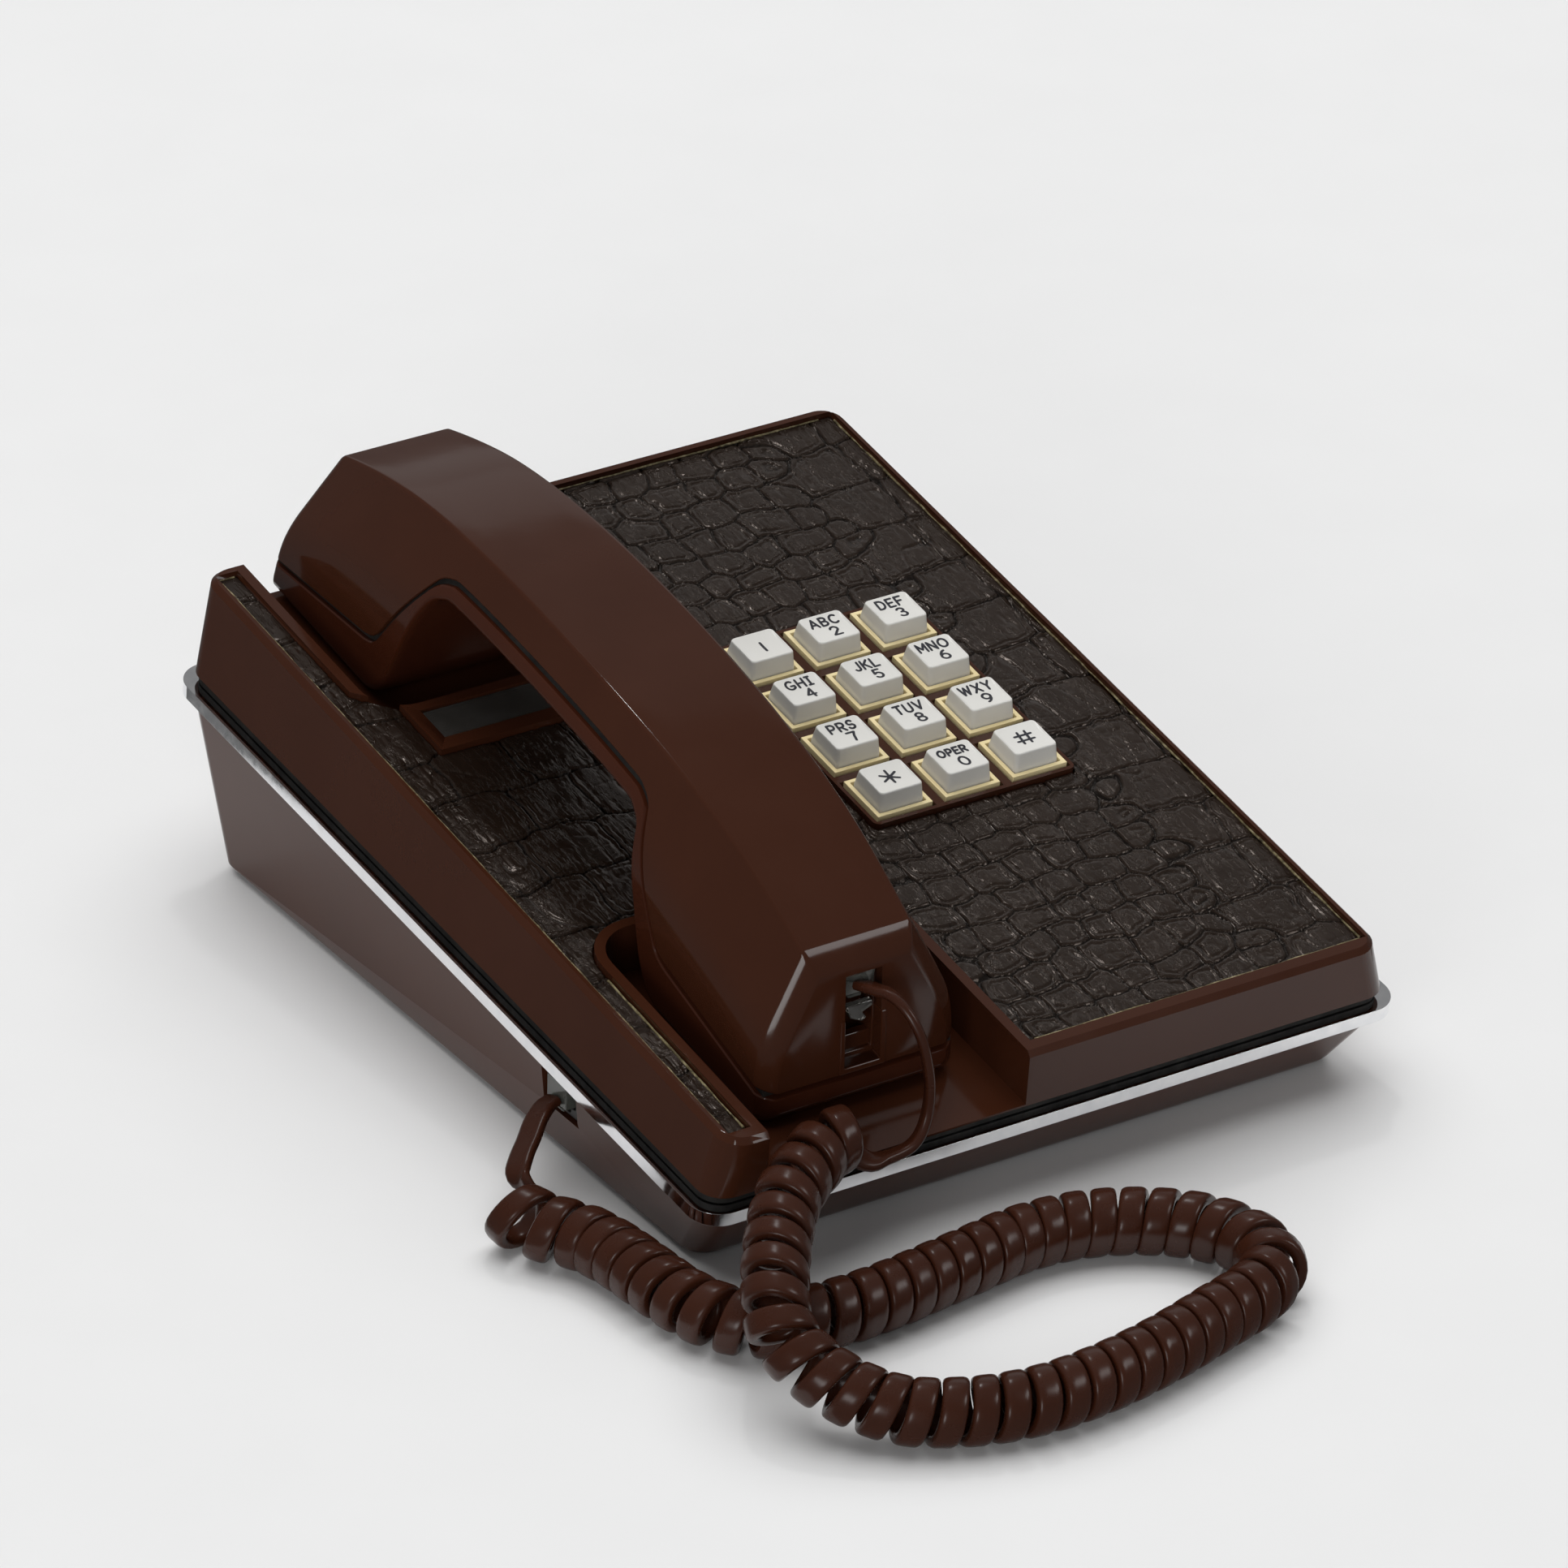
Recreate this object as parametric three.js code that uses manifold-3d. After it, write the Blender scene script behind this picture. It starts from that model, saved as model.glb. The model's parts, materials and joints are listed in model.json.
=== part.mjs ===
// A slimline push-button desk telephone: a wedge-shaped base with two wells, a handset lying across
// them, a curly cord, and the ringer, hookswitch and boards that make it work. Millimetres, +Z up.
import * as THREE from 'three';
import { mergeVertices } from 'three/addons/utils/BufferGeometryUtils.js';
import Module from 'manifold-3d';

const wasm = await Module();
wasm.setup();

// ---------------------------------------------------------------- driving dimensions

const GAP = 0.3;                                    // running gap between touching pieces
const WALL = 2.4;                                   // moulded wall thickness
const CENTRE_Y = 111.34;                            // middle of the base, front to back

// The deck is the sloping top face, and the trim line the gentler slope of the bright strip.
const DECK = { tilt: THREE.MathUtils.degToRad(9.14), z: 35.6 };
const TRIM = { tilt: THREE.MathUtils.degToRad(6.73), z: 19.84 };

const STRIP = { half: 88.4, front: 0, back: 223.85, height: 3.1, width: 3.6, radius: 7 };
const GASKET = { inset: 2.9, low: 0.3, high: 2.0, width: 2.2 };
const UPPER = {
  lowHalf: 86, lowFront: 1.8, lowBack: 222, topHalf: 82.6, topFront: 0.4, topBack: 221.6, skin: 2.2,
};
const UPPER_BOTTOM = 2.3;                           // height of its lower edge above the trim line
const EDGE = 1.2;                                   // chamfer round the deck
const LOWER = { topHalf: 86, topFront: 2, topBack: 222, half: 82.5, front: 13.3, back: 212.7, z: 1.5 };
const CORNER = 6;                                   // radius of the base's upright corners

const LEATHER = { half: 80.2, front: 4.6, back: 218.6, top: -1.3, thick: 1.2 };
const WELL = { left: -72.6, right: -8.2, radius: 9.5, rim: 2.7, wall: 2.2 };
const FRONT_WELL = { end: 73, floor: -12.9 };
const REAR_WELL = { start: 160, floor: -10.2 };
const CARD = { left: -67.6, right: -13, front: 142.8, back: 163, window: [-64.3, -16.3, 146.8, 157.4] };

const KEY = { pitch: 17.46, x: 31, s: 116.2, top: 4.7, width: 10.8, depth: 9.8, base: 11.4 };
const KEY_FLANGE = { size: 13.4, low: -5.9 };        // stops the key under the guide
const KEY_STEM = { size: 4, low: -8.4 };             // works the contact
const PLATE = { width: 52, depth: 69.6, low: -2.5, top: -0.2, window: 15.3 };
const GUIDE = { width: 49.4, depth: 66.8, low: -4.6, high: -2.8, collar: 14.1, hole: 12, top: 0.5 };
const KEY_NAMES = ['1', '2', '3', '4', '5', '6', '7', '8', '9', 'star', '0', 'hash'];

const HANDSET = { x: -40.3, s: 118.7, tilt: THREE.MathUtils.degToRad(1) };
const GRIP = { crown: 42.1, thick: 12.3, line: 8.3, topHalf: 14.9, slope: 0.54, cupHalf: 24.5 };
const CUP = { start: 60, line: 3, endLine: -3.5, bottom: -10.5, endTop: 98.5, end: 105, endTopW: 26 };

const CAPSULE = { receiver: 80, transmitter: -77, radius: 14, neck: 10, low: 2.5, step: 9, top: 13 };

const HOOK = { x: -40.3, s: 194, plunger: 4, rod: 2, pin: 0.7, pinS: 204, pinH: -24.9 };
const BASE_JACK = { y: 62.4, z: 18, half: 6.9, low: 5.4 };
const LINE_JACK = { x: 40, z: 22, half: 7 };
const RINGER = { x: 36, y: 176, z: 8, spread: 20, pivot: 12, coil: 26 };
const BOARD_LEGS = [[-60, 100], [0, 88], [0, 156], [-58, 156]];
const PLUG = { half: 3.8, high: 2.9, length: 12, latch: 1.6 };

const COIL_RADIUS = 7.25;
const CORD_RADIUS = 2.1;
const SCREW = { boss: 4, thread: 1.8, clearance: 1.9, counterbore: 3.4, head: 3, shank: 1.5 };
const SCREWS = [[74, 22], [74, 198], [-70, 88], [-70, 146]];
const FOOT = { radius: 6, height: 2.6 };
const FEET = [[66, 30], [66, 196], [-66, 30], [-66, 196]];

// ---------------------------------------------------------------- finishes

const finish = (color, roughness, metalness = 0, more = {}) =>
  new THREE.MeshStandardMaterial({ color, roughness, metalness, ...more });
const BROWN = finish(0x442a20, 0.35);
const DARK_BROWN = finish(0x35180f, 0.25);
const HIDE = finish(0x2b2420, 0.45);
const BLACK = finish(0x141210, 0.7);
const CHROME = finish(0xdfe2e6, 0.12, 1);
const STEEL = finish(0xa9abad, 0.35, 1);
const BRASS = finish(0xb08d4a, 0.3, 1);
const IVORY = finish(0xf2efe8, 0.3);
const CREAM = finish(0xf0dca0, 0.4);
const CLEAR = finish(0xdcdcd2, 0.1, 0, { transparent: true, opacity: 0.5 });
const PAPER = finish(0x1c1512, 0.8);
const BOARD = finish(0x6b4a20, 0.6);
const RUBBER = finish(0x1a1a1a, 0.9);

// ---------------------------------------------------------------- solids and meshes

function toSolid(geometry, matrix = new THREE.Matrix4()) {
  const bare = geometry.index ? geometry.toNonIndexed() : geometry.clone();
  for (const name of Object.keys(bare.attributes)) {
    if (name !== 'position') bare.deleteAttribute(name);
  }
  bare.applyMatrix4(matrix);
  const merged = mergeVertices(bare, 1e-4);
  const vertProperties = new Float32Array(merged.attributes.position.array);
  const triVerts = new Uint32Array(merged.index.array);
  return new wasm.Manifold(new wasm.Mesh({ numProp: 3, vertProperties, triVerts }));
}

function toGeometry(solid) {
  const mesh = solid.getMesh();
  const geometry = new THREE.BufferGeometry();
  geometry.setAttribute('position', new THREE.BufferAttribute(new Float32Array(mesh.vertProperties), 3));
  geometry.setIndex(new THREE.BufferAttribute(new Uint32Array(mesh.triVerts), 1));
  const flat = geometry.toNonIndexed();
  flat.computeVertexNormals();
  return flat;
}

function piece(name, material, shape) {
  const mesh = new THREE.Mesh(shape.isBufferGeometry ? shape : toGeometry(shape), material);
  mesh.name = name;
  return mesh;
}

const shift = (x, y, z) => new THREE.Matrix4().makeTranslation(x, y, z);

function planeMatrix(plane) {
  return new THREE.Matrix4().makeRotationX(plane.tilt).setPosition(0, 0, plane.z);
}
const ON_DECK = planeMatrix(DECK);
const ON_TRIM = planeMatrix(TRIM);
const ON_TABLE = planeMatrix({ tilt: 0, z: 0 });

function block(x0, x1, y0, y1, z0, z1) {
  const box = new THREE.BoxGeometry(x1 - x0, y1 - y0, z1 - z0);
  return box.translate((x0 + x1) / 2, (y0 + y1) / 2, (z0 + z1) / 2);
}

function post(radius, x, y, z0, z1, sides = 24, topRadius = radius) {
  const cylinder = new THREE.CylinderGeometry(topRadius, radius, z1 - z0, sides);
  return cylinder.rotateX(Math.PI / 2).translate(x, y, (z0 + z1) / 2);
}

// A flat shape with upright sides, from z0 to z1.
function slab(shape, z0, z1, steps = 4) {
  const options = { depth: z1 - z0, bevelEnabled: false, curveSegments: steps };
  return new THREE.ExtrudeGeometry(shape, options).translate(0, 0, z0);
}

function roundedShape(x0, x1, y0, y1, radius, Path = THREE.Shape) {
  const shape = new Path();
  shape.moveTo(x1, y0 + radius);
  shape.absarc(x1 - radius, y1 - radius, radius, 0, Math.PI / 2);
  shape.absarc(x0 + radius, y1 - radius, radius, Math.PI / 2, Math.PI);
  shape.absarc(x0 + radius, y0 + radius, radius, Math.PI, 1.5 * Math.PI);
  shape.absarc(x1 - radius, y0 + radius, radius, 1.5 * Math.PI, 2 * Math.PI);
  return shape;
}

// A rounded outline at height h over a plane, as world points for loft().
function ring(plane, h, half, front, back, radius) {
  const points = roundedShape(-half, half, front, back, radius).getPoints(4).slice(1);
  return points.map((p) => new THREE.Vector3(p.x, p.y, h).applyMatrix4(plane));
}

// A closed skin over rings of equally many points, with convex rings at both ends.
function loft(rings) {
  const position = [];
  const count = rings[0].length;
  const triangle = (a, b, c) => position.push(...a.toArray(), ...b.toArray(), ...c.toArray());
  for (let r = 0; r + 1 < rings.length; r += 1) {
    for (let i = 0; i < count; i += 1) {
      const j = (i + 1) % count;
      triangle(rings[r][i], rings[r][j], rings[r + 1][j]);
      triangle(rings[r][i], rings[r + 1][j], rings[r + 1][i]);
    }
  }
  for (let i = 1; i + 1 < count; i += 1) {
    const last = rings[rings.length - 1];
    triangle(rings[0][0], rings[0][i + 1], rings[0][i]);
    triangle(last[0], last[i], last[i + 1]);
  }
  const geometry = new THREE.BufferGeometry();
  geometry.setAttribute('position', new THREE.Float32BufferAttribute(position, 3));
  return geometry;
}

// ---------------------------------------------------------------- base casing

function frontWellShape(margin) {
  const radius = WELL.radius + margin;
  return roundedShape(WELL.left - margin, WELL.right + margin, -40, FRONT_WELL.end + margin, radius);
}

function rearWellShape(margin) {
  const radius = WELL.radius + margin;
  return roundedShape(WELL.left - margin, WELL.right + margin, REAR_WELL.start - margin, 260, radius);
}

// The hide's outline runs round both wells and the card frame, and grow widens it for its recess.
function leatherShape(grow) {
  const { half, front, back } = LEATHER;
  const left = WELL.left - WELL.rim + grow;
  const right = WELL.right + WELL.rim - grow;
  const round = WELL.radius + WELL.rim - grow;
  const frontEnd = FRONT_WELL.end + WELL.rim - grow;
  const cardLeft = CARD.left + grow;
  const cardRight = CARD.right - grow;
  const cardFront = CARD.front + grow;
  const rearStart = REAR_WELL.start - WELL.rim + grow;
  const shape = new THREE.Shape();
  shape.moveTo(half + grow, front - grow);
  shape.lineTo(half + grow, back + grow);
  shape.lineTo(right, back + grow);
  shape.lineTo(right, rearStart + round);
  shape.lineTo(cardRight, rearStart);
  shape.lineTo(cardRight, cardFront);
  shape.lineTo(cardLeft, cardFront);
  shape.lineTo(cardLeft, rearStart + 4);
  shape.lineTo(left, rearStart + round);
  shape.lineTo(left, back + grow);
  shape.lineTo(-half - grow, back + grow);
  shape.lineTo(-half - grow, front - grow);
  shape.lineTo(left, front - grow);
  shape.absarc(left + round, frontEnd - round, round, Math.PI, Math.PI / 2, true);
  shape.absarc(right - round, frontEnd - round, round, Math.PI / 2, 0, true);
  shape.lineTo(right, front - grow);
  return shape;
}

function keypadOutline(grow, Path = THREE.Shape) {
  const x = PLATE.width / 2 + grow;
  const y = PLATE.depth / 2 + grow;
  return roundedShape(KEY.x - x, KEY.x + x, KEY.s - y, KEY.s + y, 1.5, Path);
}

function upperOutside() {
  const u = UPPER;
  return toSolid(loft([
    ring(ON_TRIM, UPPER_BOTTOM, u.lowHalf, u.lowFront, u.lowBack, CORNER),
    ring(ON_DECK, -EDGE, u.topHalf, u.topFront, u.topBack, CORNER),
    ring(ON_DECK, 0, u.topHalf - EDGE, u.topFront + EDGE, u.topBack - EDGE, CORNER - EDGE),
  ]));
}

function upperInside() {
  const u = UPPER;
  const ceiling = LEATHER.top - LEATHER.thick - GAP - UPPER.skin;
  return toSolid(loft([
    ring(ON_TRIM, -8, u.lowHalf - WALL, u.lowFront + WALL, u.lowBack - WALL, CORNER - 1),
    ring(ON_DECK, ceiling, u.topHalf - WALL, u.topFront + WALL, u.topBack - WALL, CORNER - 1),
  ]));
}

function upperHousing() {
  const keysX = GUIDE.width / 2 + GAP;
  const keysY = GUIDE.depth / 2 + GAP;
  const bosses = SCREWS.map(([x, y]) => toSolid(post(SCREW.boss, x, y, 12.4, 80, 16)));
  const inside = upperInside();
  const outside = upperOutside();
  const frontPan = toSolid(slab(frontWellShape(WELL.wall), FRONT_WELL.floor - WELL.wall, 10), ON_DECK);
  const sill = block(WELL.left - 1, WELL.right + 1, 5, 60, FRONT_WELL.floor - 2.6, FRONT_WELL.floor + 1);
  const rearPan = toSolid(slab(rearWellShape(WELL.wall), REAR_WELL.floor - WELL.wall, 10), ON_DECK);
  const aboveCeiling = toSolid(block(-120, 120, -40, 280, -4, 90), ON_DECK);
  let shell = outside.subtract(inside);
  shell = shell.add(frontPan.intersect(outside)).add(rearPan.intersect(outside));
  shell = shell.add(toSolid(sill, ON_DECK));
  for (const boss of bosses) shell = shell.add(boss.subtract(aboveCeiling));
  const cuts = [
    toSolid(slab(frontWellShape(0), FRONT_WELL.floor, 12), ON_DECK),
    toSolid(slab(rearWellShape(0), REAR_WELL.floor, 12), ON_DECK),
    toSolid(slab(leatherShape(GAP), LEATHER.top - LEATHER.thick - GAP, 8), ON_DECK),
    toSolid(block(KEY.x - keysX, KEY.x + keysX, KEY.s - keysY, KEY.s + keysY, -9, 8), ON_DECK),
    toSolid(block(...CARD.window, -2.6, 8), ON_DECK),
    toSolid(post(HOOK.plunger + 0.4, HOOK.x, HOOK.s, REAR_WELL.floor - 8, REAR_WELL.floor + 4), ON_DECK),
    ...SCREWS.map(([x, y]) => toSolid(post(SCREW.thread, x, y, 0, 27, 12))),
  ];
  for (const cut of cuts) shell = shell.subtract(cut);
  return piece('upper_housing', BROWN, shell);
}

function lowerHousing() {
  const l = LOWER;
  const rim = -STRIP.height - GAP;
  const outside = toSolid(loft([
    ring(ON_TABLE, l.z, l.half - 1, l.front + 1, l.back - 1, CORNER - 1),
    ring(ON_TABLE, l.z + 1, l.half, l.front, l.back, CORNER),
    ring(ON_TRIM, rim, l.topHalf, l.topFront, l.topBack, CORNER),
  ]));
  const inside = toSolid(loft([
    ring(ON_TABLE, l.z + WALL, l.half - WALL, l.front + WALL, l.back - WALL, CORNER - 1),
    ring(ON_TRIM, rim + 1, l.topHalf - WALL, l.topFront + WALL, l.topBack - WALL, CORNER - 1),
  ]));
  let shell = outside.subtract(inside);
  for (const [x, y] of SCREWS) shell = shell.add(toSolid(post(SCREW.boss, x, y, l.z + 1, 12, 16)));
  const side = BASE_JACK;
  const back = LINE_JACK;
  const cuts = [
    ...SCREWS.map(([x, y]) => toSolid(post(SCREW.counterbore, x, y, 0, 5, 16))),
    ...SCREWS.map(([x, y]) => toSolid(post(SCREW.clearance, x, y, 0, 20, 12))),
    ...FEET.map(([x, y]) => toSolid(post(FOOT.radius + 0.4, x, y, 0, FOOT.height + GAP))),
    toSolid(block(-95, -75, side.y - side.half, side.y + side.half, side.z - side.low, 40)),
    toSolid(block(back.x - back.half, back.x + back.half, 205, 230, back.z - 6, back.z + 6)),
  ];
  for (const cut of cuts) shell = shell.subtract(cut);
  return piece('lower_housing', BROWN, shell);
}

function ringOnTrim(name, material, inset, width, low, high) {
  const { half, front, back, radius } = STRIP;
  const shape = roundedShape(-half + inset, half - inset, front + inset, back - inset, radius - inset / 2);
  const inner = inset + width;
  const round = radius - inner / 2;
  shape.holes.push(roundedShape(-half + inner, half - inner, front + inner, back - inner, round, THREE.Path));
  return piece(name, material, slab(shape, low, high, 5));
}

function feet() {
  return FEET.map(([x, y], i) => piece(`foot_${i + 1}`, RUBBER, post(FOOT.radius, x, y, 0, FOOT.height)));
}

function casingScrews() {
  return SCREWS.map(([x, y], i) => {
    const head = toSolid(post(SCREW.head, x, y, 2.6, 4.6, 16));
    const shank = toSolid(post(SCREW.shank, x, y, 4, 24, 12));
    const slot = toSolid(block(x - 2.6, x + 2.6, y - 0.4, y + 0.4, 2, 3.3));
    return piece(`casing_screw_${i + 1}`, STEEL, head.add(shank).subtract(slot));
  });
}

// ---------------------------------------------------------------- deck: hide, card, keypad

function leatherInlay() {
  const shape = leatherShape(0);
  shape.holes.push(keypadOutline(GAP, THREE.Path));
  return piece('leather_inlay', HIDE, slab(shape, LEATHER.top - LEATHER.thick, LEATHER.top));
}

function cardWindow() {
  const [x0, x1, s0, s1] = CARD.window;
  return piece('card_window', CLEAR, block(x0 + GAP, x1 - GAP, s0 + GAP, s1 - GAP, -1.5, -0.4));
}

function numberCard() {
  const [x0, x1, s0, s1] = CARD.window;
  return piece('number_card', PAPER, block(x0 + 0.5, x1 - 0.5, s0 + 0.5, s1 - 0.5, -2.3, -1.9));
}

const keyPlaces = KEY_NAMES.map((label, i) => ({
  label,
  x: KEY.x + ((i % 3) - 1) * KEY.pitch,
  s: KEY.s + (1.5 - Math.floor(i / 3)) * KEY.pitch,
}));

function square(place, size, low, high) {
  const half = size / 2;
  return toSolid(block(place.x - half, place.x + half, place.s - half, place.s + half, low, high));
}

function keypadPlate() {
  let plate = toSolid(slab(keypadOutline(0), PLATE.low, PLATE.top));
  for (const place of keyPlaces) plate = plate.subtract(square(place, PLATE.window, -9, 9));
  return piece('keypad_plate', BROWN, plate);
}

function keyGuide() {
  const x = GUIDE.width / 2;
  const y = GUIDE.depth / 2;
  let guide = toSolid(block(KEY.x - x, KEY.x + x, KEY.s - y, KEY.s + y, GUIDE.low, GUIDE.high));
  for (const place of keyPlaces) guide = guide.add(square(place, GUIDE.collar, GUIDE.low, GUIDE.top));
  for (const place of keyPlaces) guide = guide.subtract(square(place, GUIDE.hole, -9, 9));
  return piece('key_guide', CREAM, guide);
}

function rectangle(width, depth, height) {
  const corners = [[width, -depth], [width, depth], [-width, depth], [-width, -depth]];
  return corners.map(([x, y]) => new THREE.Vector3(x / 2, y / 2, height));
}

// A tapered cap on its flange and stem.
function key(place) {
  const cap = toSolid(loft([
    rectangle(KEY.base, KEY.base, GUIDE.low - GAP - 0.5),
    rectangle(KEY.base, KEY.base, GUIDE.top),
    rectangle(KEY.width, KEY.depth, KEY.top),
  ]));
  const flange = square({ x: 0, s: 0 }, KEY_FLANGE.size, KEY_FLANGE.low, GUIDE.low - GAP);
  const stem = square({ x: 0, s: 0 }, KEY_STEM.size, KEY_STEM.low, KEY_FLANGE.low + 0.9);
  const mesh = piece(`key_${place.label}`, IVORY, cap.add(flange).add(stem));
  mesh.position.set(place.x, place.s, 0);
  return mesh;
}

function contactMat() {
  return piece('contact_mat', RUBBER, block(KEY.x - 26, KEY.x + 26, KEY.s - 35, KEY.s + 35, -12.2, -11.4));
}

function keypadBoard() {
  return piece('keypad_board', BOARD, block(KEY.x - 28, KEY.x + 28, KEY.s - 37, KEY.s + 37, -14.1, -12.5));
}

// ---------------------------------------------------------------- hookswitch under the rear well

function hookPlunger() {
  const head = toSolid(post(HOOK.plunger, HOOK.x, HOOK.s, -20, REAR_WELL.floor + 0.1));
  return piece('hook_plunger', BLACK, head.add(toSolid(post(HOOK.rod, HOOK.x, HOOK.s, -24, -19, 16))));
}

function hookLever() {
  const arm = toSolid(block(HOOK.x - 3, HOOK.x + 3, HOOK.s - 3, HOOK.pinS, HOOK.pinH - 0.5, HOOK.pinH + 0.5));
  const barrel = new THREE.CylinderGeometry(1.6, 1.6, 6, 16).rotateZ(Math.PI / 2);
  const bore = new THREE.CylinderGeometry(HOOK.pin + 0.1, HOOK.pin + 0.1, 8, 12).rotateZ(Math.PI / 2);
  const at = shift(HOOK.x, HOOK.pinS, HOOK.pinH);
  return piece('hook_lever', STEEL, arm.add(toSolid(barrel, at)).subtract(toSolid(bore, at)));
}

function hookSwitch() {
  const floor = toSolid(block(HOOK.x - 9, HOOK.x + 9, HOOK.s - 8, HOOK.s + 14, -33, -27.5));
  const sides = [-1, 1].map((side) => {
    const x = HOOK.x + side * 6;
    return toSolid(block(x - 1.5, x + 1.5, HOOK.s - 8, HOOK.s + 14, -28, REAR_WELL.floor - WELL.wall - GAP));
  });
  const pin = new THREE.CylinderGeometry(HOOK.pin, HOOK.pin, 12, 12).rotateZ(Math.PI / 2);
  const axle = toSolid(pin, shift(HOOK.x, HOOK.pinS, HOOK.pinH));
  return piece('hook_switch', BLACK, floor.add(sides[0]).add(sides[1]).add(axle));
}

// ---------------------------------------------------------------- boards, jacks and ringer

function lineBoard() {
  const board = toSolid(block(-64, 4, 84, 160, 9, 10.6));
  const legs = BOARD_LEGS.map(([x, y]) => toSolid(post(2, x, y, 4.2, 9.5, 12)));
  return piece('line_board', BOARD, legs.reduce((all, leg) => all.add(leg), board));
}

function transformer() {
  const core = toSolid(block(-36, -14, 118, 140, 10.9, 29));
  const ends = toSolid(block(-32, -18, 114, 144, 14, 26));
  return piece('speech_transformer', STEEL, core.add(ends));
}

const lineCapacitor = () => piece('line_capacitor', CREAM, block(-58, -42, 116, 146, 10.9, 22));

// A block with a rectangular socket in its -Y end, for a modular plug.
function baseJack() {
  const { y, z } = BASE_JACK;
  const body = toSolid(block(-84, -66, y - 6.5, y + 6.5, z - 5, z + 5));
  const socket = toSolid(block(-90, -73.5, y - 4.1, y + 4.1, z - 2.7, z + 3.9));
  const latchWay = toSolid(block(-90, -73.5, y - 2.2, y + 2.2, z - 4.1, z));
  return piece('base_cord_jack', BLACK, body.subtract(socket).subtract(latchWay));
}

function lineJack() {
  const { x, z } = LINE_JACK;
  const body = toSolid(block(x - 6.6, x + 6.6, 197, 215.5, z - 5.6, z + 5.6));
  const socket = toSolid(block(x - 4.9, x + 4.9, 203, 220, z - 3.4, z + 3.4));
  return piece('line_jack', CREAM, body.subtract(socket));
}

function ringerFrame() {
  const { x, y, z } = RINGER;
  const plate = toSolid(block(x - 30, x + 30, y - 35, y + 14, z - 3.7, z - 2.2));
  const posts = [-1, 1].map((side) => toSolid(post(2.2, x + side * RINGER.spread, y, z - 3, z + 15.8, 16)));
  const pivot = toSolid(post(1.2, x, y - RINGER.pivot, z - 3, z + 12, 12));
  return piece('ringer_frame', STEEL, plate.add(posts[0]).add(posts[1]).add(pivot));
}

function ringerCoil() {
  const { x, y, z } = RINGER;
  const bobbin = new THREE.CylinderGeometry(7, 7, 20, 24).rotateZ(Math.PI / 2);
  const flange = new THREE.CylinderGeometry(8.5, 8.5, 2, 24).rotateZ(Math.PI / 2);
  const at = (dx) => shift(x + dx, y - RINGER.coil, z + 7);
  const ends = toSolid(flange, at(-10)).add(toSolid(flange, at(10)));
  return piece('ringer_coil', BRASS, toSolid(bobbin, at(0)).add(ends));
}

// A thin bell with a hole at its crown, screwed down on its post.
function gong(side, name) {
  const { x, y, z } = RINGER;
  const outside = [[2.6, 8.6], [9, 8], [14, 5.6], [16.6, 1.2], [16.6, 0]];
  const inside = [[15.8, 0], [15.6, 1], [13.4, 4.8], [8.8, 7], [2.6, 7.6]];
  const points = [...outside, ...inside, outside[0]].map(([r, h]) => new THREE.Vector2(r, h));
  const bell = new THREE.LatheGeometry(points.reverse(), 32).rotateX(Math.PI / 2);
  const mesh = piece(name, BRASS, toSolid(bell));
  mesh.position.set(x + side * RINGER.spread, y, z + 6);
  return mesh;
}

function clapper() {
  const { x, y, z } = RINGER;
  const pivotY = y - RINGER.pivot;
  const hub = toSolid(post(2.6, x, pivotY, z + 3, z + 6, 16));
  const arm = toSolid(block(x - 0.6, x + 0.6, y - 11, y + 1, z + 3.6, z + 4.8));
  const ball = toSolid(new THREE.SphereGeometry(2.2, 16, 10), shift(x, y + 2, z + 4.2));
  const bore = toSolid(post(1.5, x, pivotY, z, z + 9, 12));
  return piece('ringer_clapper', STEEL, hub.add(arm).add(ball).subtract(bore));
}

// ---------------------------------------------------------------- handset

const crownAt = (u) => GRIP.crown - 0.00095 * u * u - 8e-8 * u ** 4;
const topHalfAt = (u) => GRIP.topHalf - 1.7 * (u / CUP.endTop) ** 2;

// The handset's cross-section along its length: a flat crown, sides that slope out, upright cups.
function handsetBody(inset) {
  const rings = [];
  const stations = 18;
  for (let i = 0; i <= stations; i += 1) {
    const u = (i / stations - 0.5) * 2 * (CUP.end + 3);
    const top = crownAt(u) - inset;
    const half = topHalfAt(u) - inset * 0.6;
    const cup = GRIP.cupHalf - inset;
    const knee = top - (cup - half) / GRIP.slope;
    const edge = 1.4;
    const right = [[half - edge, top], [half + edge * 0.5, top - edge], [cup, knee], [cup, -30]];
    const left = right.map(([x, w]) => [-x, w]).reverse();
    rings.push([...right, ...left].map(([x, w]) => new THREE.Vector3(x, u, w)));
  }
  return toSolid(loft(rings));
}

// A solid across the handset from a shape of distance along it and height.
function acrossHandset(shape, width) {
  const solid = new THREE.ExtrudeGeometry(shape, { depth: width, bevelEnabled: false });
  const axis = (x, y, z) => new THREE.Vector3(x, y, z);
  const turn = new THREE.Matrix4().makeBasis(axis(0, 1, 0), axis(0, 0, 1), axis(1, 0, 0));
  return toSolid(solid.translate(0, 0, -width / 2), turn);
}

const flatPoints = (pairs) => pairs.map(([u, w]) => new THREE.Vector2(u, w));

// The half profile's points run from the middle out, and both halves make one side view.
function sideView(half, roof) {
  const mirrored = half.map(([u, w]) => [-u, w]).reverse();
  const end = half[half.length - 1][0];
  const outline = [...mirrored, ...half, [end, roof], [-end, roof]];
  return acrossHandset(new THREE.Shape(flatPoints(outline)), 80);
}

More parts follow.
